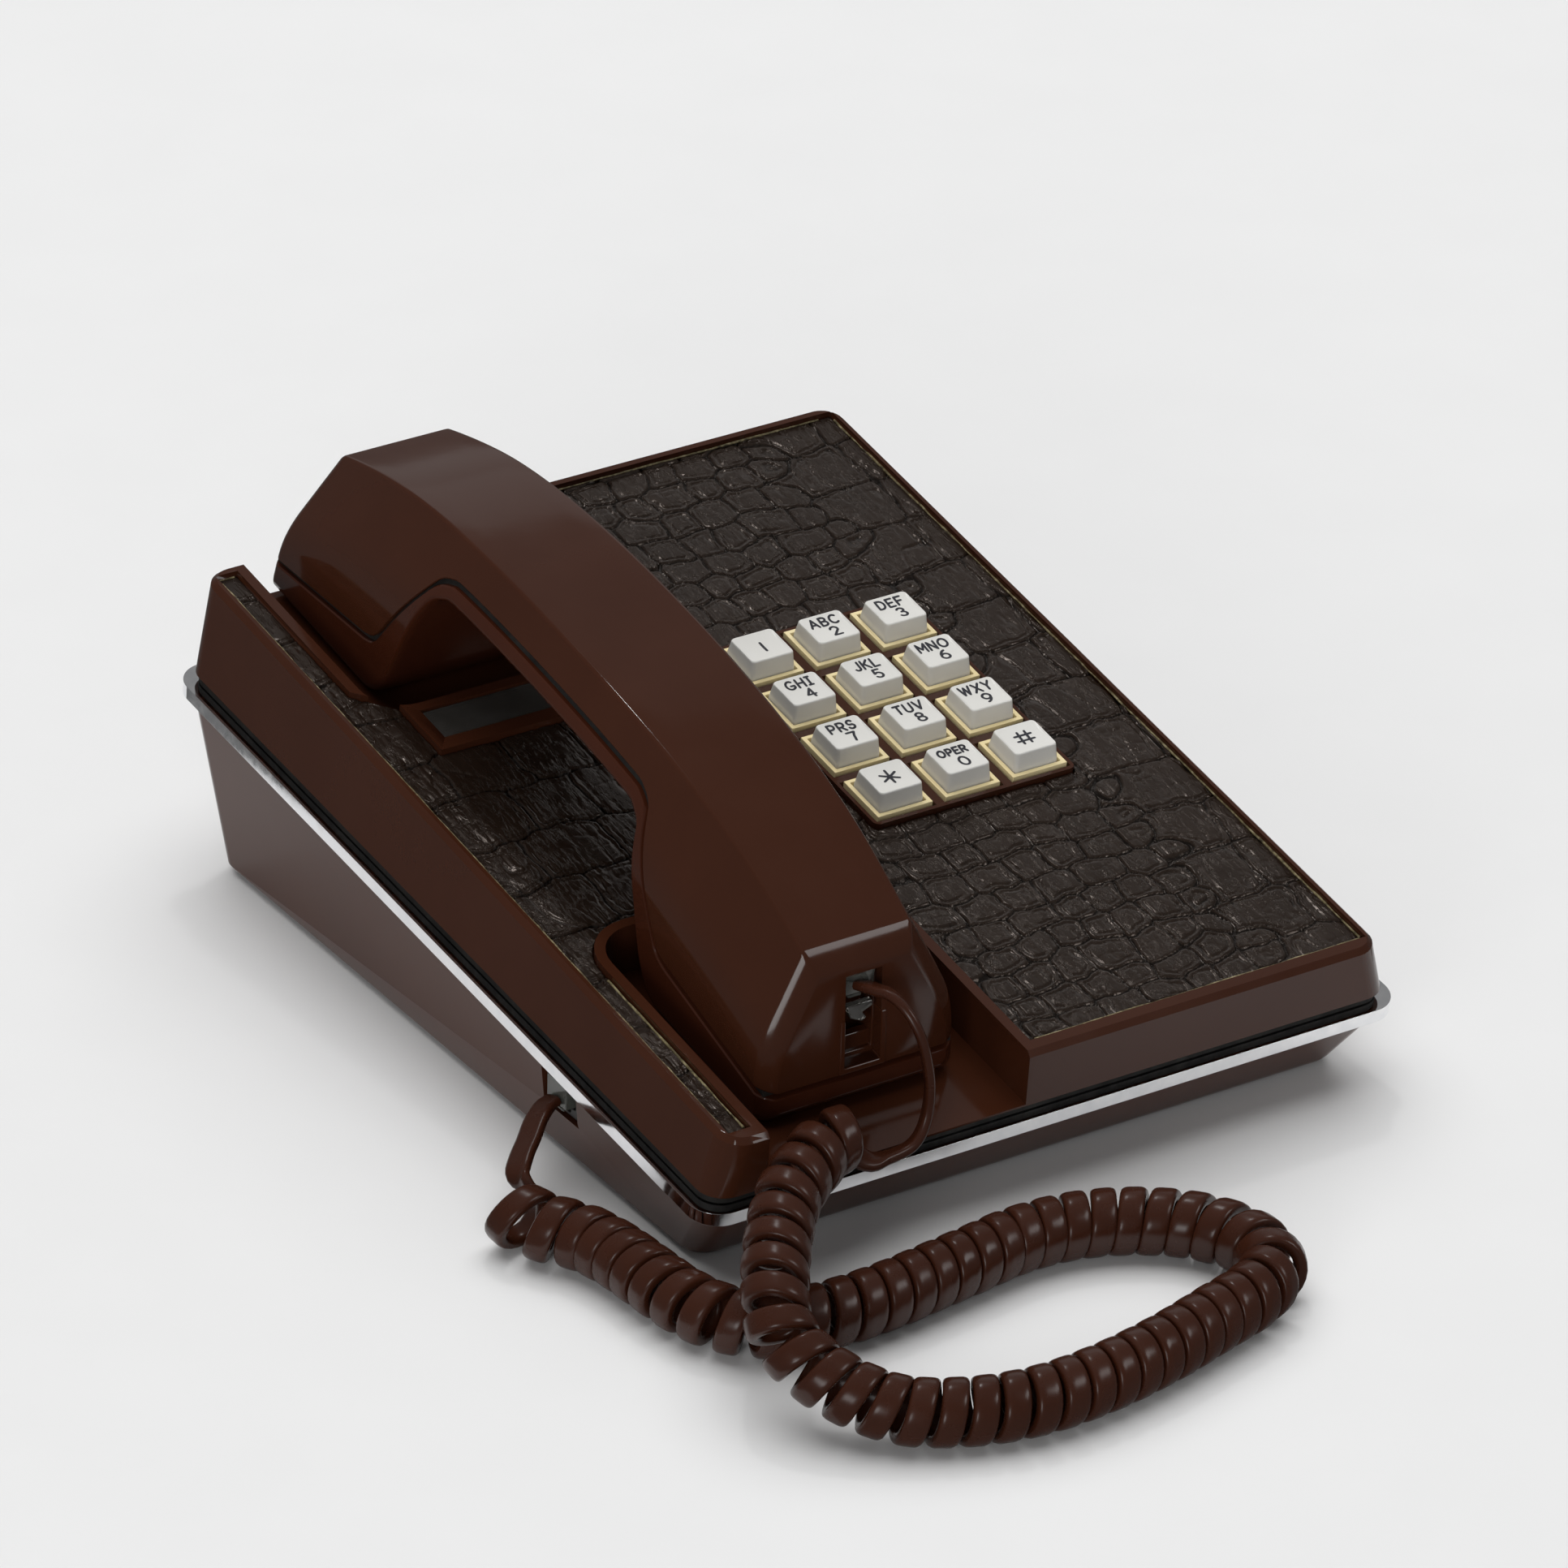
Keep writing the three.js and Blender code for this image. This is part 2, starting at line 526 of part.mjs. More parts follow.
function endFaces(inset) {
  const slope = (CUP.end - CUP.endTop) / (CUP.endTopW - CUP.bottom);
  const at = (w) => CUP.endTop - inset + (CUP.endTopW - w) * slope;
  const outline = [[at(50), 50], [at(-20), -20], [-at(-20), -20], [-at(50), 50]];
  return acrossHandset(new THREE.Shape(flatPoints(outline)), 80);
}

// The line where the two shells part: under the grip, down each cup's inner side, out to the end.
function partingLine(drop) {
  const line = [];
  for (const u of [0, 13, 26, 38]) line.push([u, crownAt(u) - GRIP.line - drop]);
  line.push([41.5, crownAt(42) - GRIP.line - 1 - drop], [43.5, 29.5 - drop]);
  line.push([CUP.start - 2, CUP.line + 3 - drop], [CUP.start, CUP.line + 1 - drop]);
  line.push([CUP.start + 3, CUP.line - drop]);
  line.push([CUP.end + 2, CUP.endLine - drop]);
  return line;
}

// The underside: the grip's hand side, the cups' inner walls and their flat caps.
function underside(raise) {
  const line = [];
  for (const u of [0, 13, 26, 38]) line.push([u, crownAt(u) - GRIP.thick + raise]);
  line.push([43 + raise * 0.7, crownAt(43) - GRIP.thick - 2.5 + raise]);
  line.push([53 + raise, CUP.bottom + 8 + raise], [57 + raise, CUP.bottom + 1.5 + raise]);
  line.push([61 + raise, CUP.bottom + raise], [CUP.end + 2, CUP.bottom + raise]);
  return line;
}

function handsetOuter() {
  const outside = handsetBody(0).intersect(endFaces(0)).intersect(sideView(partingLine(0), 60));
  const hollow = handsetBody(2.2).intersect(endFaces(2.2)).intersect(sideView(partingLine(6), 60));
  const jackHole = toSolid(block(-4.5, 4.5, -CUP.end - 5, -88, -1, 20.6));
  return piece('handset_outer_shell', BROWN, outside.subtract(hollow).subtract(jackHole));
}

function soundHoles(u) {
  const holes = [toSolid(post(1.1, 0, u, -20, 0, 8))];
  for (let i = 0; i < 6; i += 1) {
    const angle = (i / 6) * 2 * Math.PI;
    holes.push(toSolid(post(1.1, 7 * Math.cos(angle), u + 7 * Math.sin(angle), -20, 0, 8)));
  }
  return holes;
}

function handsetInner() {
  const below = handsetBody(0).intersect(endFaces(0)).intersect(sideView(underside(0), 60));
  let shell = below.subtract(sideView(partingLine(GAP), 60));
  const hollow = handsetBody(2.4).intersect(endFaces(2.4)).intersect(sideView(underside(2), 60));
  shell = shell.subtract(hollow);
  const holes = [...soundHoles(CAPSULE.transmitter), ...soundHoles(CAPSULE.receiver)];
  for (const hole of holes) shell = shell.subtract(hole);
  return piece('handset_inner_shell', DARK_BROWN, shell);
}

function capsule(name, u, material) {
  const body = toSolid(post(CAPSULE.radius, 0, u, CUP.bottom + CAPSULE.low, CUP.bottom + CAPSULE.step, 32));
  const neck = toSolid(post(CAPSULE.neck, 0, u, CUP.bottom + CAPSULE.step - 1, CUP.bottom + CAPSULE.top));
  return piece(name, material, body.add(neck));
}

function handsetJack() {
  const outline = [[-100.4, -2], [-92.4, -2], [-92.4, 4], [-84, 11.5], [-84, 22], [-96.6, 22]];
  const body = acrossHandset(new THREE.Shape(flatPoints(outline)), 13);
  const socket = toSolid(block(-4.1, 4.1, -110, -85.6, 13.2, 20.2));
  const latchSlot = toSolid(block(-4.1, 4.1, -110, -94, 0, 14));
  const latchWay = toSolid(block(-2.2, 2.2, -110, -86.4, 12, 14));
  return piece('handset_cord_jack', BROWN, body.subtract(socket).subtract(latchSlot).subtract(latchWay));
}

// A clear modular plug: body, and the springy latch standing off it. Built along -Y, latch down.
function plug(name) {
  const body = toSolid(block(-PLUG.half, PLUG.half, 0, PLUG.length, -PLUG.high, PLUG.high));
  const latch = toSolid(block(-PLUG.latch, PLUG.latch, 0.6, 9, -4.4, -3.6));
  const root = toSolid(block(-PLUG.latch, PLUG.latch, 7.6, 9, -4.4, -2.4));
  return piece(name, CLEAR, body.add(latch).add(root));
}

// ---------------------------------------------------------------- cord

// The lead from the base jack to the start of the coil.
const BASE_LEAD = [
  [-86.7, 62.4, 18.5], [-88.4, 62.3, 18.3], [-90.6, 60.8, 15.8], [-93.6, 58, 12.9], [-98, 54.4, 11.2],
  [-103, 51.2, 11.1], [-107.2, 48.2, 11.7], [-109.4, 45.2, 12.2], [-109.8, 42, 12.4],
];

// The coil lies on the table, turns back under itself and climbs over the base's front edge.
const COIL = [
  [-110, 41.2, 7.4], [-110, 37.4, 7.4], [-107, 31.5, 7.4], [-102.6, 25, 7.4], [-100.2, 16, 7.4],
  [-99, 4, 7.4], [-98, -6, 7.4], [-95.4, -15, 7.4], [-90, -22, 7.4], [-82, -25.8, 7.4], [-71, -27, 7.4],
  [-60, -26.6, 7.4], [-50, -25.4, 7.4], [-38, -23.8, 7.4], [-25, -22.2, 7.4], [-12, -23.6, 7.4],
  [0, -28.6, 7.4], [10, -37, 7.4], [15.4, -48, 7.4], [14, -58, 7.4], [5, -64.6, 7.4], [-8, -68.6, 7.4],
  [-24, -73, 7.4], [-42, -76, 7.4], [-58, -76, 7.4], [-72, -72, 7.4], [-83, -66, 8.2],
  [-90.5, -58.5, 10.8], [-95.4, -50.5, 14.6], [-97, -42.6, 18.8], [-93.7, -34.9, 22.6],
  [-87.5, -25.6, 25.2], [-81.4, -17.9, 27.2], [-76, -12.4, 28.8], [-69.2, -7.6, 30],
  [-62, -3.4, 30.9], [-58.4, -2.3, 31], [-55, -2.2, 31],
];

// The lead from the end of the coil to the handset's plug, hanging in front of the mouthpiece.
const HANDSET_LEAD = [
  [-54.2, -2.7, 25.8], [-52, -2.9, 25.6], [-46.8, -3.6, 24.2], [-40.4, -3.2, 24.8], [-37.8, -2.8, 26.6],
  [-35.6, -2, 30.4], [-34.7, -1.5, 36.6], [-34.9, -0.5, 42.3], [-35.7, 1, 47.8], [-37, 4.2, 52.4],
  [-38.2, 8.6, 54.4], [-39.4, 12.6, 54.2], [-40.2, 16.6, 53.6],
];

function tube(name, points, radius, sides, steps) {
  const path = new THREE.CatmullRomCurve3(points.map((p) => new THREE.Vector3(...p)), false, 'centripetal');
  const section = new THREE.Shape();
  for (let i = 0; i < sides; i += 1) {
    const angle = ((i + 0.5) / sides) * 2 * Math.PI;
    const draw = i === 0 ? section.moveTo : section.lineTo;
    draw.call(section, radius * Math.cos(angle), radius * Math.sin(angle));
  }
  return piece(name, DARK_BROWN, new THREE.ExtrudeGeometry(section, { steps, extrudePath: path }));
}

// ---------------------------------------------------------------- assembly

function deckGroup() {
  const group = new THREE.Group();
  group.rotation.x = DECK.tilt;
  group.position.z = DECK.z;
  group.add(leatherInlay(), cardWindow(), numberCard());
  group.add(keypadPlate(), keyGuide(), contactMat(), keypadBoard());
  for (const place of keyPlaces) group.add(key(place));
  group.add(hookPlunger(), hookLever(), hookSwitch(), handsetGroup());
  return group;
}

function handsetGroup() {
  const group = new THREE.Group();
  group.position.set(HANDSET.x, HANDSET.s, 0);
  group.rotation.x = HANDSET.tilt;
  group.add(handsetOuter(), handsetInner());
  group.add(capsule('receiver', CAPSULE.receiver, STEEL), capsule('transmitter', CAPSULE.transmitter, STEEL));
  const cordPlug = plug('handset_plug');
  cordPlug.position.set(0, -98.2, 16.8);
  group.add(handsetJack(), cordPlug);
  return group;
}

function trimGroup() {
  const group = new THREE.Group();
  group.rotation.x = TRIM.tilt;
  group.position.z = TRIM.z;
  group.add(ringOnTrim('chrome_strip', CHROME, 0, STRIP.width, -STRIP.height, 0));
  group.add(ringOnTrim('seam_gasket', BLACK, GASKET.inset, GASKET.width, GASKET.low, GASKET.high));
  return group;
}

const phone = new THREE.Group();
phone.position.y = -CENTRE_Y;
phone.add(lowerHousing(), upperHousing(), trimGroup(), deckGroup(), ...feet(), ...casingScrews());
phone.add(lineBoard(), transformer(), lineCapacitor(), baseJack(), lineJack());
phone.add(ringerFrame(), ringerCoil(), gong(-1, 'gong_left'), gong(1, 'gong_right'), clapper());

const basePlug = plug('base_plug');
basePlug.rotation.z = -Math.PI / 2;
basePlug.position.set(-86.2, BASE_JACK.y, BASE_JACK.z + 0.6);
phone.add(basePlug);

phone.add(tube('base_lead', BASE_LEAD, CORD_RADIUS, 8, 16));
phone.add(tube('cord_coil', COIL, COIL_RADIUS, 10, 60));
phone.add(tube('handset_lead', HANDSET_LEAD, CORD_RADIUS, 8, 24));

const model = new THREE.Group();
model.add(phone);

export default model;
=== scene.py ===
"""A brown push-button desk telephone with a reptile-grain deck, an arched handset and a curly cord."""
import json
import math

import bmesh
import bpy
import numpy as np
from mathutils import Matrix, Vector

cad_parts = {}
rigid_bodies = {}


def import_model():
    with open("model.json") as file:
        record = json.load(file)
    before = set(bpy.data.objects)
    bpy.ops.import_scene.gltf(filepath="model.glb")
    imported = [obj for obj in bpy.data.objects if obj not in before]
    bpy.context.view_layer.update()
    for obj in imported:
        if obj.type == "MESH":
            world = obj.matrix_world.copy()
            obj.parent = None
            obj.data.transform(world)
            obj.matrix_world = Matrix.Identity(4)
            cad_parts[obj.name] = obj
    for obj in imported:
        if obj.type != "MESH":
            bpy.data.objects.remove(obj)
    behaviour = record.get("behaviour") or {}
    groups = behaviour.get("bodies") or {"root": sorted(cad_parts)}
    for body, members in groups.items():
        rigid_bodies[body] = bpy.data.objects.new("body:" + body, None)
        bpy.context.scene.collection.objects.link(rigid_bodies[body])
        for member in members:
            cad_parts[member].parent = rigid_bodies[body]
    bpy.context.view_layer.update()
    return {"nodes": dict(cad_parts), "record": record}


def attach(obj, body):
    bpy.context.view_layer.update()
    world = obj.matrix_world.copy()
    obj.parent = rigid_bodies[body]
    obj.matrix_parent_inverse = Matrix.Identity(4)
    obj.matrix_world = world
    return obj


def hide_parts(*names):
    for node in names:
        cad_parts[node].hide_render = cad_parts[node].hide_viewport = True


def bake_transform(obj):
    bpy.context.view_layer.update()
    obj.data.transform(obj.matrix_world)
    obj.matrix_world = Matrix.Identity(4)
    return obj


for leftover in list(bpy.data.objects):
    bpy.data.objects.remove(leftover)


def new_object(name, data):
    made = bpy.data.objects.new(name, data)
    bpy.context.scene.collection.objects.link(made)
    return made


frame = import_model()

MM = 0.001
CENTRE_Y = 111.34 * MM              # middle of the base, front to back, from its front edge
WELD = 0.002 * MM                   # corners closer than this are one corner
EDGE_ROUND = 0.3 * MM               # on the edges of the plain moulded parts


# ---- places on the sloping planes

def slope(tilt_degrees, height):
    """The matrix from a plane's own x, distance up the slope and height to the row frame."""
    turn = Matrix.Rotation(math.radians(tilt_degrees), 4, "X")
    return Matrix.Translation((0, -CENTRE_Y, height)) @ turn


DECK = slope(9.14, 35.6 * MM)
HANDSET = (DECK @ Matrix.Translation((-40.3 * MM, 118.7 * MM, 0))
           @ Matrix.Rotation(math.radians(1), 4, "X"))


def eased(t):
    """0 to 1 with a soft start and a soft end."""
    return t * t * (3 - 2 * t)


def millimetres(points):
    """Points given in millimetres from the base's front edge, in the row frame."""
    return [Vector((x * MM, y * MM - CENTRE_Y, z * MM)) for x, y, z in points]


# ---- camera, lights and floor

CAMERA_DISTANCE = 2.117
CAMERA_LENS = 223.5
WORLD_LIGHT = 0.14
NEAR_FLOOR = ((-0.124, 0.15), (-0.172, 0.20))   # past this the telephone doesn't mirror the floor
FAR_FLOOR = 6


def add_camera():
    azimuth, elevation, roll = math.radians(-33.18), math.radians(28.65), math.radians(1.24)
    target = Vector((2.8, 2.2, 43.5)) * MM
    back = Vector((math.sin(azimuth) * math.cos(elevation),
                   -math.cos(azimuth) * math.cos(elevation), math.sin(elevation)))
    camera = new_object("camera", bpy.data.cameras.new("camera"))
    camera.data.lens, camera.data.sensor_width = CAMERA_LENS, 36
    camera.data.clip_start, camera.data.clip_end = 0.05, 50
    camera.location = target + back * CAMERA_DISTANCE
    level = (-back).to_track_quat("-Z", "Y").to_matrix()
    camera.rotation_mode = "QUATERNION"
    camera.rotation_quaternion = (level @ Matrix.Rotation(roll, 3, "Z")).to_quaternion()
    bpy.context.scene.camera = camera


def add_lamp(name, kind, power, facing):
    lamp = new_object(name, bpy.data.lights.new(name, kind))
    lamp.data.energy = power
    lamp.rotation_mode = "QUATERNION"
    lamp.rotation_quaternion = facing
    return lamp


def add_light(name, place, aim, size, power, accent=False):
    """A rectangular softbox; an accent shows only as a reflection."""
    lamp = add_lamp(name, "AREA", power, (Vector(aim) - Vector(place)).to_track_quat("-Z", "Y"))
    lamp.location = place
    lamp.data.shape, lamp.data.size, lamp.data.size_y = "RECTANGLE", *size
    lamp.visible_diffuse = not accent


def add_sun(name, aim_from, angle_degrees, strength):
    """A very soft light from a direction, with no reflection of its own."""
    lamp = add_lamp(name, "SUN", strength, Vector(aim_from).to_track_quat("Z", "Y"))
    lamp.data.angle = math.radians(angle_degrees)
    lamp.visible_glossy = False


def add_studio():
    world = bpy.data.worlds.new("studio")
    bpy.context.scene.world = world
    world.use_nodes = True
    background = world.node_tree.nodes["Background"]
    background.inputs["Color"].default_value = (1, 1, 1, 1)
    background.inputs["Strength"].default_value = WORLD_LIGHT
    bpy.context.scene.view_settings.view_transform = "Standard"
    add_sun("overhead_scrim", (0.12, 0.30, 1.0), 78, 2.42)
    add_sun("left_fill", (-0.85, -0.90, 0.30), 50, 0.84)
    add_light("front_overhead_softbox", (0.72, -0.86, 1.02), (0, 0, 0), (0.62, 0.42), 3.4, True)
    add_light("front_left_softbox", (-1.35, -1.12, 0.48), (0, 0, 0.05), (0.50, 0.5), 4.6)
    add_light("back_panel", (0.77, 0.95, 1.03), (0, 0, 0), (1.1, 0.8), 0.28)
    add_light("low_back_panel", (0.77, 1.22, 0.70), (0, 0, 0.05), (1.5, 0.62), 0.80)
    add_light("sparkle_lamp", (0.32, 0.62, 1.38), (0, 0, 0), (0.09, 0.09), 1.5)
    look = Look("floor_paper")
    look.tint(look.noise(30, 2), [(0.3, (0.80, 0.80, 0.80)), (0.7, (0.81, 0.81, 0.81))])
    look.set(Roughness=0.9, Specular_IOR_Level=0.1)
    (x0, x1), (y0, y1) = NEAR_FLOOR
    corners = [(x0, y0), (x1, y0), (x1, y1), (x0, y1)]
    ring = [(x * FAR_FLOOR, y * FAR_FLOOR) for x, y in ((-1, -1), (1, -1), (1, 1), (-1, 1))]
    around = [(k, k + 4, (k + 1) % 4 + 4, (k + 1) % 4) for k in range(4)]
    for name, points, faces in (
        ("floor_near", corners, [(0, 1, 2, 3)]),
        ("floor_far", corners + ring, around),
    ):
        mesh = bpy.data.meshes.new(name)
        mesh.from_pydata([(x, y, 0) for x, y in points], [], faces)
        outward(mesh)
        floor = new_object(name, mesh)
        mesh.materials.append(look.material)
        floor.visible_glossy = name == "floor_near"


# ---- materials

class Look:
    """A procedural material under construction: a Principled shader and the nodes that feed it."""

    def __init__(self, name):
        self.name = name
        self.material = bpy.data.materials.new(name)
        self.material.use_nodes = True
        self.tree = self.material.node_tree
        self.shader = self.tree.nodes["Principled BSDF"]
        self.place = self.node("ShaderNodeTexCoord", "Object", {})
        self.last_bump = None

    def feed(self, socket, value):
        """Sets an input to a value, or links it to another node's output."""
        if isinstance(value, bpy.types.NodeSocket):
            self.tree.links.new(value, socket)
        else:
            socket.default_value = value

    def node(self, kind, output, inputs, **settings):
        made = self.tree.nodes.new(kind)
        for key, value in settings.items():
            setattr(made, key, value)
        for key, value in inputs.items():
            self.feed(made.inputs[key], value)
        return made.outputs[output]

    def stretched(self, scale):
        return self.node("ShaderNodeMapping", "Vector", {"Vector": self.place, "Scale": scale})

    def noise(self, scale, detail=4, roughness=0.5, place=None, distortion=0.0):
        return self.node("ShaderNodeTexNoise", "Fac", {
            "Scale": scale, "Detail": detail, "Roughness": roughness, "Distortion": distortion,
            "Vector": place or self.place})

    def cells(self, scale):
        """Distance from the nearest of many scattered points."""
        return self.node("ShaderNodeTexVoronoi", "Distance", {"Scale": scale, "Vector": self.place})

    def ramp(self, factor, stops):
        """Grey levels or colours against a factor."""
        made = self.tree.nodes.new("ShaderNodeValToRGB")
        while len(made.color_ramp.elements) < len(stops):
            made.color_ramp.elements.new(0.5)
        for element, (position, colour) in zip(made.color_ramp.elements, stops):
            element.position = position
            element.color = (*colour, 1) if isinstance(colour, tuple) else (colour, colour, colour, 1)
        self.feed(made.inputs["Fac"], factor)
        return made.outputs["Color"]

    def math(self, operation, first, second):
        return self.node("ShaderNodeMath", "Value", {0: first, 1: second}, operation=operation)

    def blend(self, factor, first, second):
        """One colour turning into another, which is fixed."""
        return self.node("ShaderNodeMix", 2, {0: factor, 6: first, 7: (*second, 1)}, data_type="RGBA")

    def tint(self, factor, stops):
        self.set(Base_Color=self.ramp(factor, stops))

    def rough(self, low, high, factor):
        self.set(Roughness=self.ramp(factor, [(0.3, low), (0.7, high)]))

    def bump(self, height, depth, strength):
        inputs = {"Distance": depth, "Strength": strength, "Height": height}
        if self.last_bump:
            inputs["Normal"] = self.last_bump
        self.last_bump = self.node("ShaderNodeBump", "Normal", inputs)
        self.set(Normal=self.last_bump)

    def set(self, **values):
        for key, value in values.items():
            self.feed(self.shader.inputs[key.replace("_", " ")], value)


def moulded(name, dark, light, low, high, ripple=0.02, specks=True, specular=0.33):
    """Glossy moulded plastic: slight colour drift, patches of duller handling, fine ripple and dust."""
    look = Look(name)
    drift = look.noise(28, 5, 0.55)
    base = look.ramp(drift, [(0.32, dark), (0.68, light)])
    if specks:
        dust = look.ramp(look.cells(420), [(0.0, 1.0), (0.035, 0.0)])
        rare = look.ramp(look.noise(70, 2), [(0.60, 0.0), (0.66, 0.35)])
        base = look.blend(look.math("MULTIPLY", dust, rare), base, (0.42, 0.38, 0.34))
    look.set(Base_Color=base)
    look.rough(low, high, look.noise(55, 6, 0.6))
    look.bump(look.noise(260, 3), ripple * MM, 0.5)
    look.bump(look.noise(1400, 2), ripple * 0.3 * MM, 0.4)
    look.set(Specular_IOR_Level=specular)
    return look


def plain_rubber(name, dark, light):
    look = Look(name)
    look.tint(look.noise(120, 5), [(0.3, dark), (0.7, light)])
    look.rough(0.6, 0.9, look.noise(400, 4))
    look.bump(look.noise(1500, 5, 0.7), 0.12 * MM, 0.7)
    return look


def grained(name, dark, light, rough, grain, bump, fine=None, along=None, **settings):
    """One grain for colour and gloss, and for the surface too unless that has a finer one."""
    look = Look(name)
    pattern = look.noise(*grain, place=look.stretched(along) if along else None)
    look.tint(pattern, [(0.3, dark), (0.7, light)])
    look.rough(*rough, pattern)
    look.bump(look.noise(*fine) if fine else pattern, bump[0] * MM, bump[1])
    look.set(**settings)
    return look


def metal(name, dark, light, low, high, along=(1, 1, 1)):
    return grained(name, dark, light, (low, high), (300, 5), (0.01, 0.4), along=along, Metallic=1.0)


def clear(name, dark=(0.42, 0.43, 0.38), light=(0.60, 0.60, 0.55), specular=0.5):
    return grained(name, dark, light, (0.03, 0.14), (160, 4), (0.01, 0.3), (700, 2),
                   Transmission_Weight=0.88, IOR=1.5, Specular_IOR_Level=specular)


HIDE_TOP = -1.3                     # the hide's surface below the rim around it
CREASE_SHADE_DEPTH = 0.6                  # depth below the hide's top over which the creases are painted dark as shade


def hide(name):
    """Dark embossed hide: waxy scales, creases sunk between them and painted black as shade, fine pores and
    short wrinkles.
    """
    look = Look(name)
    drift = look.noise(45, 5, 0.6)
    skin = look.ramp(drift, [(0.3, (0.0100, 0.0058, 0.0038)), (0.7, (0.0148, 0.0090, 0.0062))])
    # painted shade: points sunk below the hide's top are coloured near black in the creases
    crease = (0.0022, 0.0013, 0.0010)
    level = look.node("ShaderNodeMapping", "Vector", {
        "Location": DECK.translation, "Rotation": DECK.to_euler(), "Vector": look.place},
        vector_type="TEXTURE")
    height = look.node("ShaderNodeSeparateXYZ", "Z", {"Vector": level})
    below = look.math("SUBTRACT", HIDE_TOP * MM, height)
    sunk_shade = look.math("MULTIPLY", below, 1 / (CREASE_SHADE_DEPTH * MM))
    look.set(Base_Color=look.blend(look.ramp(sunk_shade, [(0.50, 0.0), (0.80, 1.0)]), skin, crease))
    look.rough(0.17, 0.31, look.noise(240, 5, 0.65))
    look.set(Specular_Tint=(1.0, 0.84, 0.74, 1.0))
    wrinkles = look.noise(640, 4, 0.6, look.stretched((1, 0.2, 0.2)), 0.5)
    look.bump(look.ramp(wrinkles, [(0.44, 0.0), (0.52, 1.0)]), 0.09 * MM, 0.9)
    look.bump(look.noise(2600, 3, 0.6), 0.02 * MM, 0.5)
    return look


def glue(name):
    """Old contact glue squeezed out round the hide: olive crumbs with pale cream runs."""
    look = Look(name)
    crumbs = look.noise(650, 5, 0.7)
    look.tint(crumbs, [(0.36, (0.030, 0.022, 0.012)), (0.50, (0.15, 0.12, 0.055)),
                       (0.68, (0.38, 0.33, 0.20))])
    look.rough(0.5, 0.85, crumbs)
    look.bump(crumbs, 0.25 * MM, 0.9)
    return look


LOOKS = {look.name: look.material for look in (
    moulded("brown_plastic", (0.040, 0.0120, 0.0055), (0.0455, 0.0140, 0.0066), 0.08, 0.15),
    # the lower housing's copy of brown_plastic: base colour painted lighter as fill light from the floor,
    # and rougher and less glossy
    moulded("brown_plastic_painted_fill", (0.050, 0.0160, 0.0080), (0.056, 0.0182, 0.0092), 0.12, 0.2,
            0.02, False, 0.2),
    moulded("dark_brown_plastic", (0.040, 0.0105, 0.0048), (0.046, 0.0125, 0.0058), 0.1, 0.18, 0.01),
    hide("leather"),
    grained("legend_ink", (0.012, 0.013, 0.02), (0.03, 0.03, 0.038), (0.35, 0.6), (900, 4), (0.01, 0.4),
            (2500, 2)),
    glue("glue"),
    metal("chrome", (0.80, 0.81, 0.83), (0.90, 0.90, 0.91), 0.04, 0.11),
    plain_rubber("black_rubber", (0.006, 0.0055, 0.005), (0.018, 0.016, 0.014)),
    moulded("black_plastic", (0.008, 0.007, 0.006), (0.014, 0.012, 0.011), 0.3, 0.5),
    clear("clear_plastic"),
    clear("window_plastic", (0.20, 0.19, 0.17), (0.28, 0.27, 0.25), 0.12),
    plain_rubber("card", (0.012, 0.008, 0.007), (0.02, 0.014, 0.012)),
    moulded("cream_plastic", (0.80, 0.66, 0.36), (0.86, 0.74, 0.44), 0.3, 0.42, 0.01, False),
    moulded("ivory_plastic", (0.70, 0.69, 0.655), (0.75, 0.74, 0.705), 0.14, 0.24, 0.008, False),
    grained("board", (0.16, 0.075, 0.022), (0.27, 0.14, 0.045), (0.45, 0.7), (500, 5), (0.03, 0.5),
            along=(1, 0.2, 1)),
    metal("steel", (0.42, 0.43, 0.44), (0.60, 0.61, 0.62), 0.25, 0.42, (1, 0.15, 1)),
    metal("brass", (0.48, 0.30, 0.10), (0.62, 0.42, 0.17), 0.22, 0.38, (1, 0.2, 1)),
    moulded("cord_vinyl", (0.034, 0.0098, 0.0046), (0.041, 0.0120, 0.0058), 0.22, 0.32, 0.01, False),
)}
SLOT_OF = {entry["node"]: entry["material_slot"] for entry in frame["record"]["subparts"]}
BODY_OF = {node: body for body, nodes in frame["record"]["behaviour"]["bodies"].items() for node in nodes}


# ---- pieces

def shade(mesh, angle=35):
    """Smooth shading, kept crisp where faces meet at more than the angle."""
    mesh.shade_smooth()
    mesh.set_sharp_from_angle(angle=math.radians(angle))


def new_piece(name, mesh, slot, body, nodes=()):
    piece = new_object(name, mesh)
    if not mesh.materials:
        mesh.materials.append(LOOKS[slot])
    if body:
        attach(piece, body)
    if nodes:
        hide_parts(*nodes)
    return piece


def round_edges(piece, width):
    bevel = piece.modifiers.new("rounded_edges", "BEVEL")
    bevel.width, bevel.segments = width, 3
    bevel.limit_method, bevel.angle_limit = "ANGLE", math.radians(32)
    bevel.use_clamp_overlap = True
    bevel.miter_outer = "MITER_ARC"
    piece.modifiers.new("even_shading", "WEIGHTED_NORMAL").keep_sharp = True


PLAIN_RINGS = {"chrome_strip", "seam_gasket"}       # these round over cleanly as they are
# the lower housing takes the copy of brown plastic with painted fill light
FINISH_OF = {"lower_housing": "brown_plastic_painted_fill", "card_window": "window_plastic"}
FLAT_WITHIN = 0.4                                   # degrees between faces that become one


